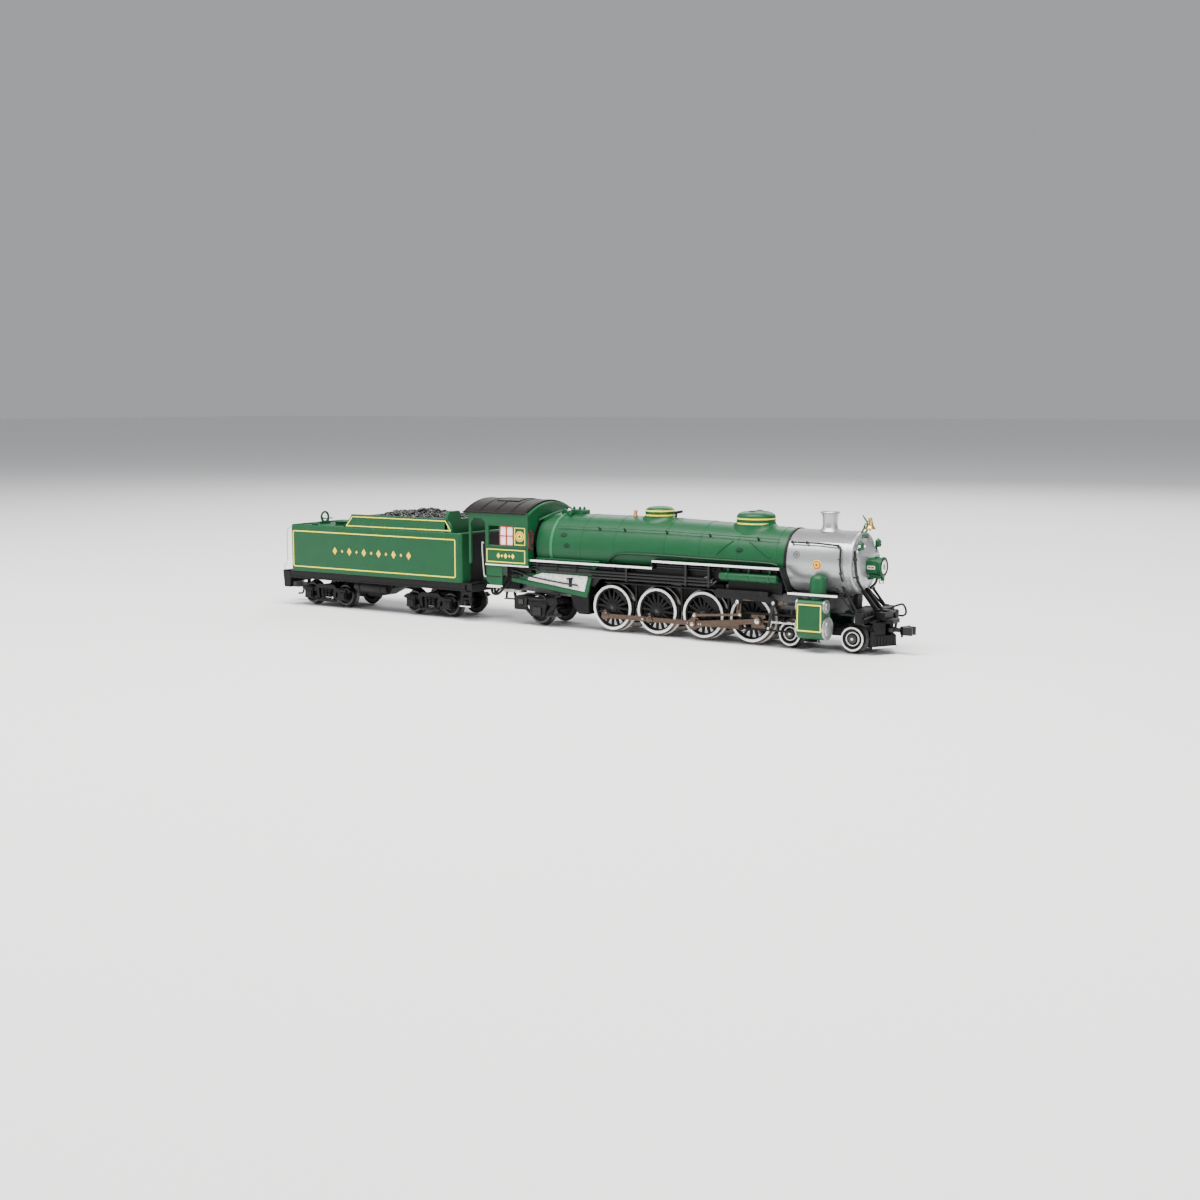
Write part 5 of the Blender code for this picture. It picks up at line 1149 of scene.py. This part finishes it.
# pilot truck
sh = Shape().use(BLACK)
sh.prism([(41.5 - 1.5, 3.6), (59.8, 3.6), (59.8, 4.4), (41.5 - 1.5, 4.4)], "y", -2.8, 2.8)
for s in (-1, 1):
    sh.prism([(42.0, 1.5), (45.6, 1.5), (46.4, 2.6), (55.4, 2.6), (56.2, 1.5), (59.8, 1.5), (59.8, 4.3), (42.0, 4.3)], "y", *sorted((s * 2.5, s * 3.3)))
    for x in (44.6, 50.9, 57.2):
        sh.box((x - 0.3, x + 0.3), (s * 2.6, s * 3.5), (3.5, 5.0))
sh.turn((41.5, 0, 0), (0, 0, 1), [(0.8, 4.4), (1.6, 4.4), (1.6, 5.5), (0.8, 5.5)], 32, closed=True)
sh.done("pilot_truck_casting", "pilot_truck", replaces=["pilot_truck_frame"], bevel=0.06, slot="black")

# trailing truck
sh = Shape().use(BLACK)
sh.prism([(-12.9, -1.9), (-12.9, 1.9), (-14.6, 6.6), (-15.4, 6.6), (-15.4, -6.6), (-14.6, -6.6)], "z", 5.45, 6.05)
sh.box((-26.2, -24.0), (-6.6, 6.6), (5.45, 6.05))
sh.turn((-12.0, 0, 0), (0, 0, 1), [(0.8, 4.3), (1.6, 4.3), (1.6, 5.3), (0.8, 5.3)], 32, closed=True)
sh.box((-13.9, -12.6), (-1.2, 1.2), (4.4, 5.9))
for s in (-1, 1):
    sh.use(BLACK)
    sh.prism([(-26.3, 6.1), (-14.4, 6.1), (-14.2, 5.0), (-15.9, 4.2), (-17.4, 4.9), (-21.9, 4.9), (-23.0, 3.5), (-26.3, 3.3)], "y", *sorted((s * 5.98, s * 6.7)))
    sh.prism([(-21.5, 1.7), (-17.7, 1.7), (-17.0, 5.0), (-22.2, 5.0)], "y", *sorted((s * 5.98, s * 6.85)))
    sh.prism([(-26.3, 3.6), (-22.8, 3.6), (-21.4, 1.9), (-21.4, 1.5), (-23.2, 2.9), (-26.3, 2.9)], "y", *sorted((s * 6.1, s * 6.6)))
    sh.prism([(-17.8, 1.5), (-15.2, 3.6), (-14.3, 4.9), (-14.3, 5.6), (-16.0, 4.2), (-17.8, 2.2)], "y", *sorted((s * 6.1, s * 6.6)))
    sh.use(BLACK_SATIN)
    sh.box((-20.7, -18.5), (s * 6.8, s * 7.15), (2.0, 3.8))
    sh.use(WHEEL_METAL).box((-24.9, -23.6), (s * 6.6, s * 6.95), (4.3, 5.3))
    sh.use(BLACK_SATIN).tube(smooth_path([(-24.4, s * 6.3, 6.0), (-22.0, s * 6.9, 6.9), (-18.8, s * 6.9, 6.7), (-17.2, s * 6.9, 6.0), (-18.6, s * 6.9, 5.6), (-22.2, s * 6.9, 5.7)], 5), 0.2, 8)
    sh.tube([(-17.3, s * 6.6, 1.9), (-13.2, s * 6.6, 2.3)], 0.32, 10)
    sh.use(BLACK_SATIN)
    for i in range(7):
        zz = 4.0 + i * 0.32
        sh.ring((-22.9, s * 6.75, zz - 0.2), (0, 0, 1), 0.42, 0.12, 16, 6)
    for x in (-21.8, -17.4, -15.4, -25.6):
        sh.dome_bolt((x, s * 6.7, 5.5), (0, s, 0), 0.2, 0.14)
sh.done("trailing_truck_casting", "trailing_truck", replaces=["trailing_truck_frame"], bevel=0.05, slot="black")


# ================================================================ pilot and couplers
sh = Shape().use(BLACK)
sh.box((59.6, 61.1), (-8.3, 8.3), (5.95, 8.2))
sh.box((56.1, 60.0), (-5.2, 5.2), (7.5, 8.15))
sh.box((56.1, 57.0), (-1.2, 1.2), (7.6, 11.0))
for s in (-1, 1):
    # the two heavy braces from the smokebox to the beam, and the thin ones outside them
    sh.prism([(57.3, 12.3), (58.05, 12.5), (61.75, 8.1), (60.8, 7.9)], "y", *sorted((s * 0.65, s * 1.45)))
    sh.box((60.7, 61.9), (s * 0.5, s * 1.6), (8.0, 8.4))
    sh.tube([(55.9, s * 6.2, 13.2), (59.7, s * 7.0, 7.9)], 0.3, 10)
    sh.tube([(54.6, s * 6.5, 12.8), (59.0, s * 7.4, 8.0)], 0.2, 8)
    sh.box((56.0, 59.8), (s * 5.0, s * 7.9), (7.5, 7.8))
    sh.box((59.3, 60.2), (s * 6.5, s * 7.6), (7.8, 8.45))
    for y in (2.6, 4.6, 6.6):
        sh.prism([(61.05, 6.1), (61.3, 6.1), (61.3, 7.9), (61.05, 8.1)], "y", *sorted((s * y, s * (y + 0.35))))
sh.box((61.0, 62.4), (-4.3, 4.3), (5.8, 6.4))
sh.box((61.0, 63.5), (-2.2, 2.2), (6.3, 7.9))
sh.box((61.0, 65.1), (-1.7, 1.7), (5.6, 6.5))
sh.prism([(62.2, -1.0), (63.3, -0.8), (63.3, 0.8), (62.2, 1.0)], "z", 7.8, 8.3)
# pointed nose: upper body, ledge, foot plate and its upright ribs
for s in (-1, 1):
    sh.prism([(61.7, s * 4.3), (62.1, s * 4.3), (63.45, s * 1.65), (61.7, s * 1.65)], "z", 3.2, 5.9)
    sh.prism([(61.6, s * 5.1), (62.1, s * 5.1), (62.3, s * 4.8), (62.3, s * 4.2), (61.6, s * 4.2)], "z", 0.9, 4.2)
sh.prism([(61.7, -5.0), (62.0, -5.0), (65.0, 0), (62.0, 5.0), (61.7, 5.0)], "z", 0.95, 3.25)
sh.prism([(61.7, -5.1), (62.2, -5.1), (65.3, 0), (62.2, 5.1), (61.7, 5.1)], "z", 0.75, 1.1)
for s in (-1, 1):
    for k in range(7):
        t = (k + 0.7) / 7.4
        px, py = 62.05 + 3.0 * t, s * 5.0 * (1 - t)
        sh.tube([(px + 0.0, py, 1.0), (px - 0.05, py, 3.2)], 0.16, 6)
    sh.use(WHITE)
    sh.prism([(62.15, s * 5.15), (62.25, s * 5.2), (65.4, s * 0.1), (65.3, 0)] if s > 0 else [(65.3, 0), (65.4, -0.1), (62.25, -5.2), (62.15, -5.15)], "z", 0.78, 1.12)
    sh.use(BLACK)
sh.turn((63.9, 0, 0), (0, 0, 1), [(0, 3.6), (0.5, 3.6), (0.5, 6.3), (0, 6.3)], 20)
sh.done("pilot_casting", "chassis", replaces=["pilot"], bevel=0.05, slot="black")

sh = Shape().use(BLACK_SATIN)
# uncoupling lever along the beam, with its looped handle at one end, and the air hose
sh.tube([(61.45, -7.9, 7.0), (61.45, 2.0, 7.4)], 0.14, 8)
sh.tube(smooth_path([(61.45, 2.0, 7.4), (61.6, 2.4, 8.0), (62.0, 4.2, 8.2), (62.9, 6.9, 8.6), (63.35, 7.5, 8.5), (63.7, 7.9, 7.6), (63.75, 7.9, 6.7), (63.2, 7.6, 6.2), (61.9, 7.2, 6.3), (61.2, 7.0, 6.5)], 5), 0.23, 8)
for y in (-7.4, -3.4, 3.4):
    sh.cyl((61.0, y, 7.1), (61.5, y, 7.1), 0.2, 8)
sh.tube(smooth_path([(62.4, 3.0, 7.6), (63.3, 3.0, 7.3), (63.8, 2.9, 6.0), (63.7, 2.8, 4.4)], 5), 0.3, 10)
sh.turn((62.6, 5.2, 6.9), (0, 0, 1), [(0, -0.9), (0.7, -0.9), (0.75, 0.6), (0.45, 0.9), (0, 0.95)], 16)
# pipe from under the headlight down to the front deck
sh.tube(smooth_path([(60.7, 0.2, 14.6), (60.4, 0.2, 13.6), (59.5, 0.1, 12.7), (58.9, 0.0, 12.1)], 5), 0.14, 8)
sh.tube([(61.2, -0.4, 14.9), (62.2, -0.4, 14.7), (62.2, -0.4, 13.7), (61.4, -0.4, 13.6), (61.2, -0.4, 14.9)], 0.1, 6)
sh.done("pilot_handrails_and_hose", "chassis", slot="black")


def knuckle(name, body, node, x, d, z, reach, shank):
    sh = Shape().use(BLACK_SATIN)
    sh.turn((x, 0, z), (0, 0, 1), [(0.56, -0.45), (1.1, -0.45), (1.1, 0.45), (0.56, 0.45)], 28, closed=True)
    sh.box((x + d * 0.8, x + d * shank), (-0.55, 0.55), (z - 0.4, z + 0.4))
    head = [(shank - 0.4, -0.6), (shank + 0.6, -1.5), (reach - 0.2, -1.5), (reach, -1.3), (reach, -0.95), (shank + 1.5, -0.55), (shank + 1.3, -0.3),
            (shank + 1.3, 0.15), (reach - 0.3, 0.3), (reach, 0.5), (reach, 0.85), (reach - 0.2, 1.0), (shank + 0.4, 1.2)]
    sh.prism([(x + d * u, v) for u, v in head], "z", z - 0.85, z + 0.85)
    sh.use(WHEEL_METAL).cyl((x + d * (shank + 1.0), 0.75, z - 1.0), (x + d * (shank + 1.0), 0.75, z + 1.0), 0.25, 12)
    pin = [(x + d * (shank - 0.2), 0.2, z - 0.3), (x + d * (shank - 0.3), 0.2, z - 1.5)]
    if d < 0:
        pin += [(x + d * (shank + 0.2), 0.2, z - 2.5), (x + d * (shank + 1.6), 0.2, z - 2.7)]
        pin = smooth_path(pin, 4)
    sh.use(BLACK_SATIN).tube(pin, 0.26, 8)
    sh.done(name, body, replaces=[node], bevel=0.06, slot="black")


knuckle("front_coupler_casting", "coupler_front", "front_coupler", 63.9, 1, 4.3, 5.1, 2.6)
knuckle("rear_coupler_casting", "coupler_rear", "rear_coupler", -97.0, -1, 3.8, 5.0, 2.4)

# ================================================================ tender
sh = Shape().use(GREEN)
# tank sides, ends and top deck as one shell with rounded rear corners
cor = 0.9
foot_line = rounded(-93.95, -39.5, -9.5, 9.5, cor, 6)
inner_line = rounded(-93.1, -40.3, -8.7, 8.7, 0.5, 6)
sh.shell([[(x, y, 8.37) for x, y in inner_line], [(x, y, 8.37) for x, y in foot_line], [(x, y, 19.75) for x, y in foot_line],
          [(x, y, 20.0) for x, y in rounded(-93.75, -39.7, -9.3, 9.3, 0.8, 6)], [(x, y, 20.0) for x, y in rounded(-93.6, -39.9, -9.1, 9.1, 0.8, 6)],
          [(x, y, 19.6) for x, y in rounded(-93.5, -40.0, -9.0, 9.0, 0.7, 6)],
          [(x, y, 19.6) for x, y in rounded(-93.1, -40.3, -8.7, 8.7, 0.5, 6)]], closed=False, loop=True)
sh.box((-93.3, -72.0), (-8.8, 8.8), (19.3, 19.62))
# black sheet over the middle of the front wall: painted shade on the wall that faces the cab
sh.use(BLACK).box((-39.56, -39.42), (-5.9, 5.9), (8.4, 19.4))
sh.use(GREEN)
sh.box((-44.7, -40.1), (-8.8, 8.8), (19.3, 19.62))
for s in (-1, 1):
    # bunker side with its curved rear slope
    prof = [(-75.6, 19.5), (-75.6, 20.0), (-75.0, 21.2), (-73.6, 22.9), (-73.0, 23.05), (-44.0, 23.05), (-43.0, 22.0), (-42.4, 20.9), (-42.4, 19.5)]
    sh.prism(prof, "y", *sorted((s * 9.3, s * 8.7)))
    sh.box((-73.6, -44.0), (s * 9.4, s * 8.6), (22.85, 23.2))
    # corner brackets on the front bulkhead
    sh.prism([(s * 9.3, 19.6), (s * 9.3, 23.3), (s * 8.3, 24.9), (s * 4.6, 24.9), (s * 4.0, 23.6), (s * 4.0, 19.6)], "x", -44.5, -43.6)
    sh.box((-72.9, -71.9), (s * 8.9, 0), (19.5, 22.6))
    sh.box((-44.5, -43.6), (s * 4.1, 0), (19.5, 23.0))
sh.box((-73.4, -72.4), (-8.9, 8.9), (22.2, 22.7))
sh.ring((-91.0, 0, 21.4), (1, 0, 0), 1.25, 0.28, 36, 10)
sh.box((-91.4, -90.6), (-1.6, 1.6), (19.6, 20.3))
# water hatch and vents on the rear deck
sh.turn((-84.0, 0, 19.6), (0, 0, 1), [(0, 0), (2.5, 0), (2.5, 0.7), (2.7, 0.75), (2.7, 1.0), (2.4, 1.15), (0, 1.3)], 48)
sh.box((-82.1, -81.0), (-0.6, 0.6), (20.6, 21.1))
for y in (-5.6, 5.6):
    sh.turn((-89.2, y, 19.6), (0, 0, 1), [(0, 0), (0.8, 0), (0.8, 0.5), (0.55, 0.7), (0, 0.75)], 24)
sh.box((-79.6, -76.8), (-5.5, 5.5), (19.5, 20.3))
sh.done("tender_tank", "tender", replaces=["tender_body"], bevel=0.06, slot="green", angle=38)

sh = Shape().use(YELLOW)
for s in (-1, 1):
    y = s * 9.5
    sh.use(YELLOW)
    strip(sh, rounded(-92.95, -41.3, 9.55, 18.4, 0.35, 4), y, 0.25, 0.05)
    strip(sh, [(-75.2, 20.35), (-42.75, 20.45), (-44.2, 22.65), (-73.2, 22.65)], s * 9.3, 0.22, 0.05)
    # plain lozenge and scroll ornament in the middle of the side
    for i in range(11):
        cx = -79.0 + i * 2.36
        h, w = (0.95, 0.7) if i % 2 == 0 else (0.42, 0.36)
        flat_shape(sh.use(GOLD), [(cx - w, 13.95), (cx, 13.95 - h), (cx + w, 13.95), (cx, 13.95 + h)], y, 0.05)
sh.use(YELLOW)
# rear panel lining
rows = [(-8.4, 9.6), (8.4, 9.6), (8.4, 18.4), (-8.4, 18.4)]
for (y0, z0), (y1, z1) in zip(rows, rows[1:] + rows[:1]):
    sh.box((-93.9, -94.0), (min(y0, y1) - 0.15, max(y0, y1) + 0.15), (min(z0, z1) - 0.15, max(z0, z1) + 0.15))
sh.done("tender_lining", "tender", slot="green")

# rivet rows on the tank
sh = Shape().use(GREEN)
for s in (-1, 1):
    for i in range(66):
        x = -92.9 + i * 0.79
        sh.dome_bolt((x, s * 9.5, 19.2), (0, s, 0), 0.09, 0.06, 6)
        sh.dome_bolt((x, s * 9.5, 8.85), (0, s, 0), 0.09, 0.06, 6)
    for x in (-93.4, -40.2):
        for k in range(13):
            sh.dome_bolt((x, s * 9.5, 9.2 + k * 0.78), (0, s, 0), 0.09, 0.06, 6)
sh.done("tender_rivets", "tender", slot="green")

# coal
sh = Shape().use(COAL)


def heap(x, y):
    pts = [(-71.8, 21.3), (-69.0, 23.0), (-65.0, 24.0), (-61.0, 23.6), (-58.0, 24.6), (-53.0, 23.9), (-48.0, 23.2), (-44.6, 22.2)]
    z = 22.2
    for (x0, z0), (x1, z1) in zip(pts, pts[1:]):
        if x <= x1:
            z = z0 + (z1 - z0) * max(0.0, (x - x0) / (x1 - x0))
            break
    return z - 1.6 * (abs(y) / 8.2) ** 2.2 + 0.35 * noise.noise(Vector((x * 0.35, y * 0.35, 3.0)))


nx, ny = 54, 34
rows = []
for i in range(nx + 1):
    x = -71.8 + 27.1 * i / nx
    rows.append(sh.verts([(x, -8.45 + 16.9 * j / ny, heap(x, -8.45 + 16.9 * j / ny) - 0.35) for j in range(ny + 1)]))
made = [sh.bm.faces.new((rows[i][j], rows[i + 1][j], rows[i + 1][j + 1], rows[i][j + 1])) for i in range(nx) for j in range(ny)]
low = [sh.verts([(-71.8, -8.45, 19.0), (-44.7, -8.45, 19.0), (-44.7, 8.45, 19.0), (-71.8, 8.45, 19.0)])]
a, b, c, d = low[0]
made.append(sh.bm.faces.new((a, d, c, b)))
made.append(sh.bm.faces.new([a, b] + [rows[i][0] for i in range(nx, -1, -1)]))
made.append(sh.bm.faces.new([c, d] + [rows[i][ny] for i in range(nx + 1)]))
made.append(sh.bm.faces.new([d, a] + [rows[0][j] for j in range(ny + 1)]))
made.append(sh.bm.faces.new([b, c] + [rows[nx][j] for j in range(ny, -1, -1)]))
sh.faces(made)
for _ in range(1500):
    x, y = random.uniform(-71.4, -45.1), random.uniform(-8.2, 8.2)
    r = random.uniform(0.24, 0.62)
    z = heap(x, y) - 0.3 + random.uniform(-0.1, 0.2)
    rot = Matrix.Rotation(random.uniform(0, 6.28), 4, Vector((random.gauss(0, 1), random.gauss(0, 1), random.gauss(0, 1))).normalized())
    size = Matrix.Diagonal((random.uniform(0.7, 1.3), random.uniform(0.7, 1.2), random.uniform(0.6, 1.0), 1))
    got = bmesh.ops.create_icosphere(sh.bm, subdivisions=1, radius=r, matrix=Matrix.Translation((x, y, z)) @ rot @ size)
    for v in got["verts"]:
        v.co += Vector((random.uniform(-1, 1), random.uniform(-1, 1), random.uniform(-1, 1))) * r * 0.22
    for f in {f for v in got["verts"] for f in v.link_faces}:
        f.material_index = 0
sh.done("coal_heap", "tender", replaces=["coal_load"], slot="coal", smooth=False)

# tender underframe
sh = Shape().use(BLACK)
sh.box((-92.9, -40.6), (-8.6, 8.6), (8.2, 9.0))
for s in (-1, 1):
    sh.prism([(-96.2, 8.35), (-36.9, 8.35), (-36.9, 7.95), (-96.2, 7.95)], "y", *sorted((s * 9.0, s * 4.0)))
    sh.box((-95.0, -38.4), (s * 8.9, s * 8.3), (6.5, 8.3))
    sh.box((-95.0, -38.4), (s * 9.12, s * 8.2), (6.45, 6.75))
    # front steps
    sh.prism([(-40.0, 6.6), (-37.1, 6.6), (-37.1, 2.9), (-37.5, 2.9), (-38.0, 5.6), (-39.4, 5.6), (-39.8, 2.9), (-40.2, 2.9)], "y", *sorted((s * 8.9, s * 8.5)))
    for z in (2.8, 4.6):
        sh.box((-40.2, -37.0), (s * 9.3, s * 7.9), (z, z + 0.25))
    sh.use(WHITE).box((-40.2, -37.0), (s * 9.3, s * 9.36), (2.82, 3.02))
    sh.use(BLACK)
sh.box((-38.9, -36.9), (-8.9, 8.9), (6.3, 8.2))
sh.box((-96.9, -95.2), (-8.9, 8.9), (5.2, 8.3))
for s in (-1, 1):
    sh.prism([(-97.3, 8.3), (-94.7, 8.3), (-94.9, 4.0), (-96.9, 4.0)], "y", *sorted((s * 9.0, s * 7.9)))
for x in (-51.4, -84.85):
    sh.turn((x, 0, 0), (0, 0, 1), [(0, 5.2), (0.8, 5.2), (0.8, 8.2), (0, 8.2)], 24)
    sh.box((x - 2.4, x + 2.4), (-7.5, 7.5), (7.2, 8.2))
sh.turn((-41.3, 0, 0), (0, 0, 1), [(0, 5.7), (0.6, 5.7), (0.6, 8.2), (0, 8.2)], 20)
sh.turn((-97.0, 0, 0), (0, 0, 1), [(0, 3.4), (0.5, 3.4), (0.5, 6.6), (0, 6.6)], 20)
# water scoop and its gear, air tank
sh.prism([(-76.5, 7.9), (-64.0, 7.9), (-65.5, 5.0), (-70.5, 2.6), (-74.0, 2.6)], "y", -3.3, 3.3)
sh.turn((0, -5.6, 5.3), (1, 0, 0), [(0, -75.6), (1.3, -75.4), (1.6, -74.9), (1.6, -65.6), (1.3, -65.1), (0, -64.9)], 32)
sh.turn((0, 5.6, 5.3), (1, 0, 0), [(0, -75.6), (1.3, -75.4), (1.6, -74.9), (1.6, -65.6), (1.3, -65.1), (0, -64.9)], 32)
for x in (-73.6, -67.0):
    for s in (-1, 1):
        sh.box((x - 0.2, x + 0.2), (s * 4.0, s * 7.25), (6.8, 8.0))
        sh.turn((x, s * 5.6, 5.3), (1, 0, 0), [(1.55, -0.25), (1.72, -0.2), (1.72, 0.2), (1.55, 0.25)], 32, closed=True)
sh.done("tender_underframe", "tender", replaces=["tender_floor"], bevel=0.05, slot="black")

# wire handrails and ladder on the tender
sh = Shape().use(WIRE)
for s in (-1, 1):
    sh.tube(smooth_path([(-94.1, s * 8.6, 19.2), (-95.0, s * 9.0, 18.9), (-95.4, s * 9.1, 17.6), (-95.5, s * 9.1, 11.2), (-95.2, s * 9.0, 10.4), (-94.1, s * 8.6, 10.1)], 5), 0.14, 8)
    sh.tube(smooth_path([(-96.0, s * 8.6, 10.0), (-96.9, s * 8.6, 9.7), (-97.0, s * 8.6, 8.7), (-96.2, s * 8.6, 8.3)], 5), 0.12, 8)
sh.use(BLACK_SATIN)
for y in (3.4, 5.6):
    sh.tube(smooth_path([(-93.6, y, 20.6), (-94.6, y, 20.5), (-95.0, y, 19.6), (-95.0, y, 8.6)], 4), 0.15, 8)
for k in range(8):
    sh.cyl((-95.0, 3.4, 9.6 + k * 1.35), (-95.0, 5.6, 9.6 + k * 1.35), 0.13, 8)
for y in (3.4, 5.6):
    for z in (10.0, 17.5):
        sh.cyl((-93.9, y, z), (-95.0, y, z), 0.12, 8)
sh.tube(smooth_path([(-94.0, -1.4, 11.6), (-94.8, -1.5, 11.2), (-95.3, -1.8, 9.4), (-97.0, -2.2, 7.8), (-97.6, -2.3, 5.0)], 5), 0.28, 10)
sh.done("tender_rails_and_ladder", "tender", slot="steel")
sh = Shape().use(GREEN)
sh.turn((-94.0, 0, 16.6), (-1, 0, 0), [(0, 0), (1.2, 0), (1.35, 0.3), (1.35, 1.1), (1.15, 1.2), (1.05, 0.9), (0, 0.8)], 32)
sh.use(LENS).turn((-94.0, 0, 16.6), (-1, 0, 0), [(0, 0.7), (1.06, 0.7), (0.9, 1.0), (0, 1.12)], 32)
sh.done("tender_lamp", "tender", slot="green")

# tender trucks
for label, cx in (("front", -51.4), ("rear", -84.85)):
    sh = Shape().use(BLACK)
    for s in (-1, 1):
        # cast side frame: top bar, bottom bar, journal boxes and a leaf or coil spring nest in the middle
        sh.prism([(cx - 8.3, 3.7), (cx - 7.2, 4.5), (cx - 3.6, 4.2), (cx - 2.6, 5.1), (cx + 2.6, 5.1), (cx + 3.6, 4.2), (cx + 7.2, 4.5), (cx + 8.3, 3.7), (cx + 7.4, 3.3), (cx + 3.2, 3.2), (cx + 2.4, 4.0), (cx - 2.4, 4.0), (cx - 3.2, 3.2), (cx - 7.4, 3.3)], "y", *sorted((s * 6.0, s * 6.75)))
        sh.prism([(cx - 7.4, 1.5), (cx - 3.4, 1.3), (cx - 2.6, 0.7), (cx + 2.6, 0.7), (cx + 3.4, 1.3), (cx + 7.4, 1.5), (cx + 7.2, 2.1), (cx + 3.2, 2.1), (cx + 2.3, 1.4), (cx - 2.3, 1.4), (cx - 3.2, 2.1), (cx - 7.2, 2.1)], "y", *sorted((s * 6.0, s * 6.7)))
        for g in (-1, 1):
            ax = cx + g * 5.55
            sh.box((ax - 1.3, ax + 1.3), (s * 6.28, s * 7.15), (1.4, 4.0))
            sh.box((ax - 1.0, ax + 1.0), (s * 7.1, s * 7.4), (1.7, 3.3))
            sh.dome_bolt((ax, s * 7.4, 3.0), (0, s, 0), 0.2, 0.12)
            sh.prism([(cx + g * 2.2, 1.2), (cx + g * 3.0, 1.2), (cx + g * 3.4, 4.4), (cx + g * 2.5, 4.6)], "y", *sorted((s * 6.05, s * 6.7)))
        sh.box((cx - 7.3, cx + 7.3), (s * 6.0, s * 6.2), (2.0, 3.5))
        sh.use(BLACK_SATIN)
        for k in (-1.1, 0.0, 1.1):
            for i in range(6):
                sh.ring((cx + k, s * 6.5, 1.65 + i * 0.42), (0, 0, 1), 0.42, 0.14, 16, 6)
        sh.use(BLACK)
    sh.box((cx - 1.7, cx + 1.7), (-6.6, 6.6), (3.5, 5.0))
    sh.turn((cx, 0, 0), (0, 0, 1), [(0.9, 4.8), (1.6, 4.8), (1.6, 7.0), (0.9, 7.0)], 28, closed=True)
    for g in (-1, 1):
        for s in (-1, 1):
            sh.prism([(cx + g * 2.4, 1.2), (cx + g * 2.9, 1.0), (cx + g * 3.0, 3.4), (cx + g * 2.5, 3.4)], "y", *sorted((s * 4.2, s * 5.5)))
        sh.box((cx + g * 2.3, cx + g * 2.8), (-5.4, 5.4), (1.8, 2.3))
    sh.done(f"tender_truck_casting_{label}", f"truck_{label}", replaces=[f"tender_truck_{label}"], bevel=0.05, slot="black")

# ================================================================ CAD nodes that stay in view
for node, m in {"loco_frame": DIECAST, "keeper_plate": BLACK, "motor": GRAPHITE, "worm_shaft_flywheel": BRASS, "main_axle_gear": WHEEL_METAL, "drawbar": STEEL}.items():
    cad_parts[node].material_slots[0].material = m

# ================================================================ floor, light and camera
bm = bmesh.new()
bmesh.ops.create_grid(bm, x_segments=2, y_segments=2, size=4.0)
mesh = bpy.data.meshes.new("floor")
bm.to_mesh(mesh)
bm.free()
floor = bpy.data.objects.new("floor", mesh)
bpy.context.scene.collection.objects.link(floor)
floor.location = (0, 0, -0.00005)
mesh.materials.append(material("floor_paper", (0.90, 0.90, 0.895), 0.7, vary=0.01, scale=3.0, grain=300.0, bump=0.02))
floor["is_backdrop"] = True

world = bpy.data.worlds.new("studio")
bpy.context.scene.world = world
world.use_nodes = True
world.node_tree.nodes["Background"].inputs["Color"].default_value = (0.93, 0.95, 1.0, 1)
world.node_tree.nodes["Background"].inputs["Strength"].default_value = 0.42


def area(name, place, target, size, power, colour=(1, 1, 1)):
    light = bpy.data.lights.new(name, "AREA")
    light.shape = "RECTANGLE"
    light.size, light.size_y = size
    light.energy = power
    light.color = colour
    obj = bpy.data.objects.new(name, light)
    bpy.context.scene.collection.objects.link(obj)
    obj.location = place
    obj.rotation_euler = (Vector(target) - Vector(place)).to_track_quat("-Z", "Y").to_euler()
    obj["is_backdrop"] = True


area("key", (0.03, -0.16, 0.48), (0, 0, 0.01), (0.6, 0.28), 7.5, (1.0, 0.985, 0.96))
area("front_fill", (0.55, -0.25, 0.2), (0.05, 0, 0.01), (0.4, 0.3), 1.1)
area("left_fill", (-0.45, -0.3, 0.22), (-0.05, 0, 0.01), (0.4, 0.3), 0.8, (0.95, 0.97, 1.0))
area("back_rim", (-0.1, 0.45, 0.35), (0, 0, 0.01), (0.6, 0.25), 2.2)

cam = bpy.data.cameras.new("camera")
cam.lens = 48.13
cam.sensor_width = 36.0
cam.clip_start = 0.01
cam.clip_end = 20.0
camera = bpy.data.objects.new("camera", cam)
bpy.context.scene.collection.objects.link(camera)
yaw, pitch, roll = math.radians(123.46), math.radians(7.07), math.radians(-0.11)
look = Vector((math.cos(pitch) * math.cos(yaw), math.cos(pitch) * math.sin(yaw), -math.sin(pitch)))
camera.location = (0.20914, -0.30210, 0.05109)
camera.rotation_euler = (look.to_track_quat("-Z", "Y").to_matrix() @ Matrix.Rotation(roll, 3, "Z")).to_euler()
bpy.context.scene.camera = camera

bpy.context.view_layer.update()
visual_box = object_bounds()


def plain(v):
    if isinstance(v, dict):
        return {k: plain(x) for k, x in v.items()}
    if isinstance(v, (int, float)):
        return float(v)
    return [plain(x) for x in v]


{"cad": plain(cad_box), "visual": plain(visual_box)}
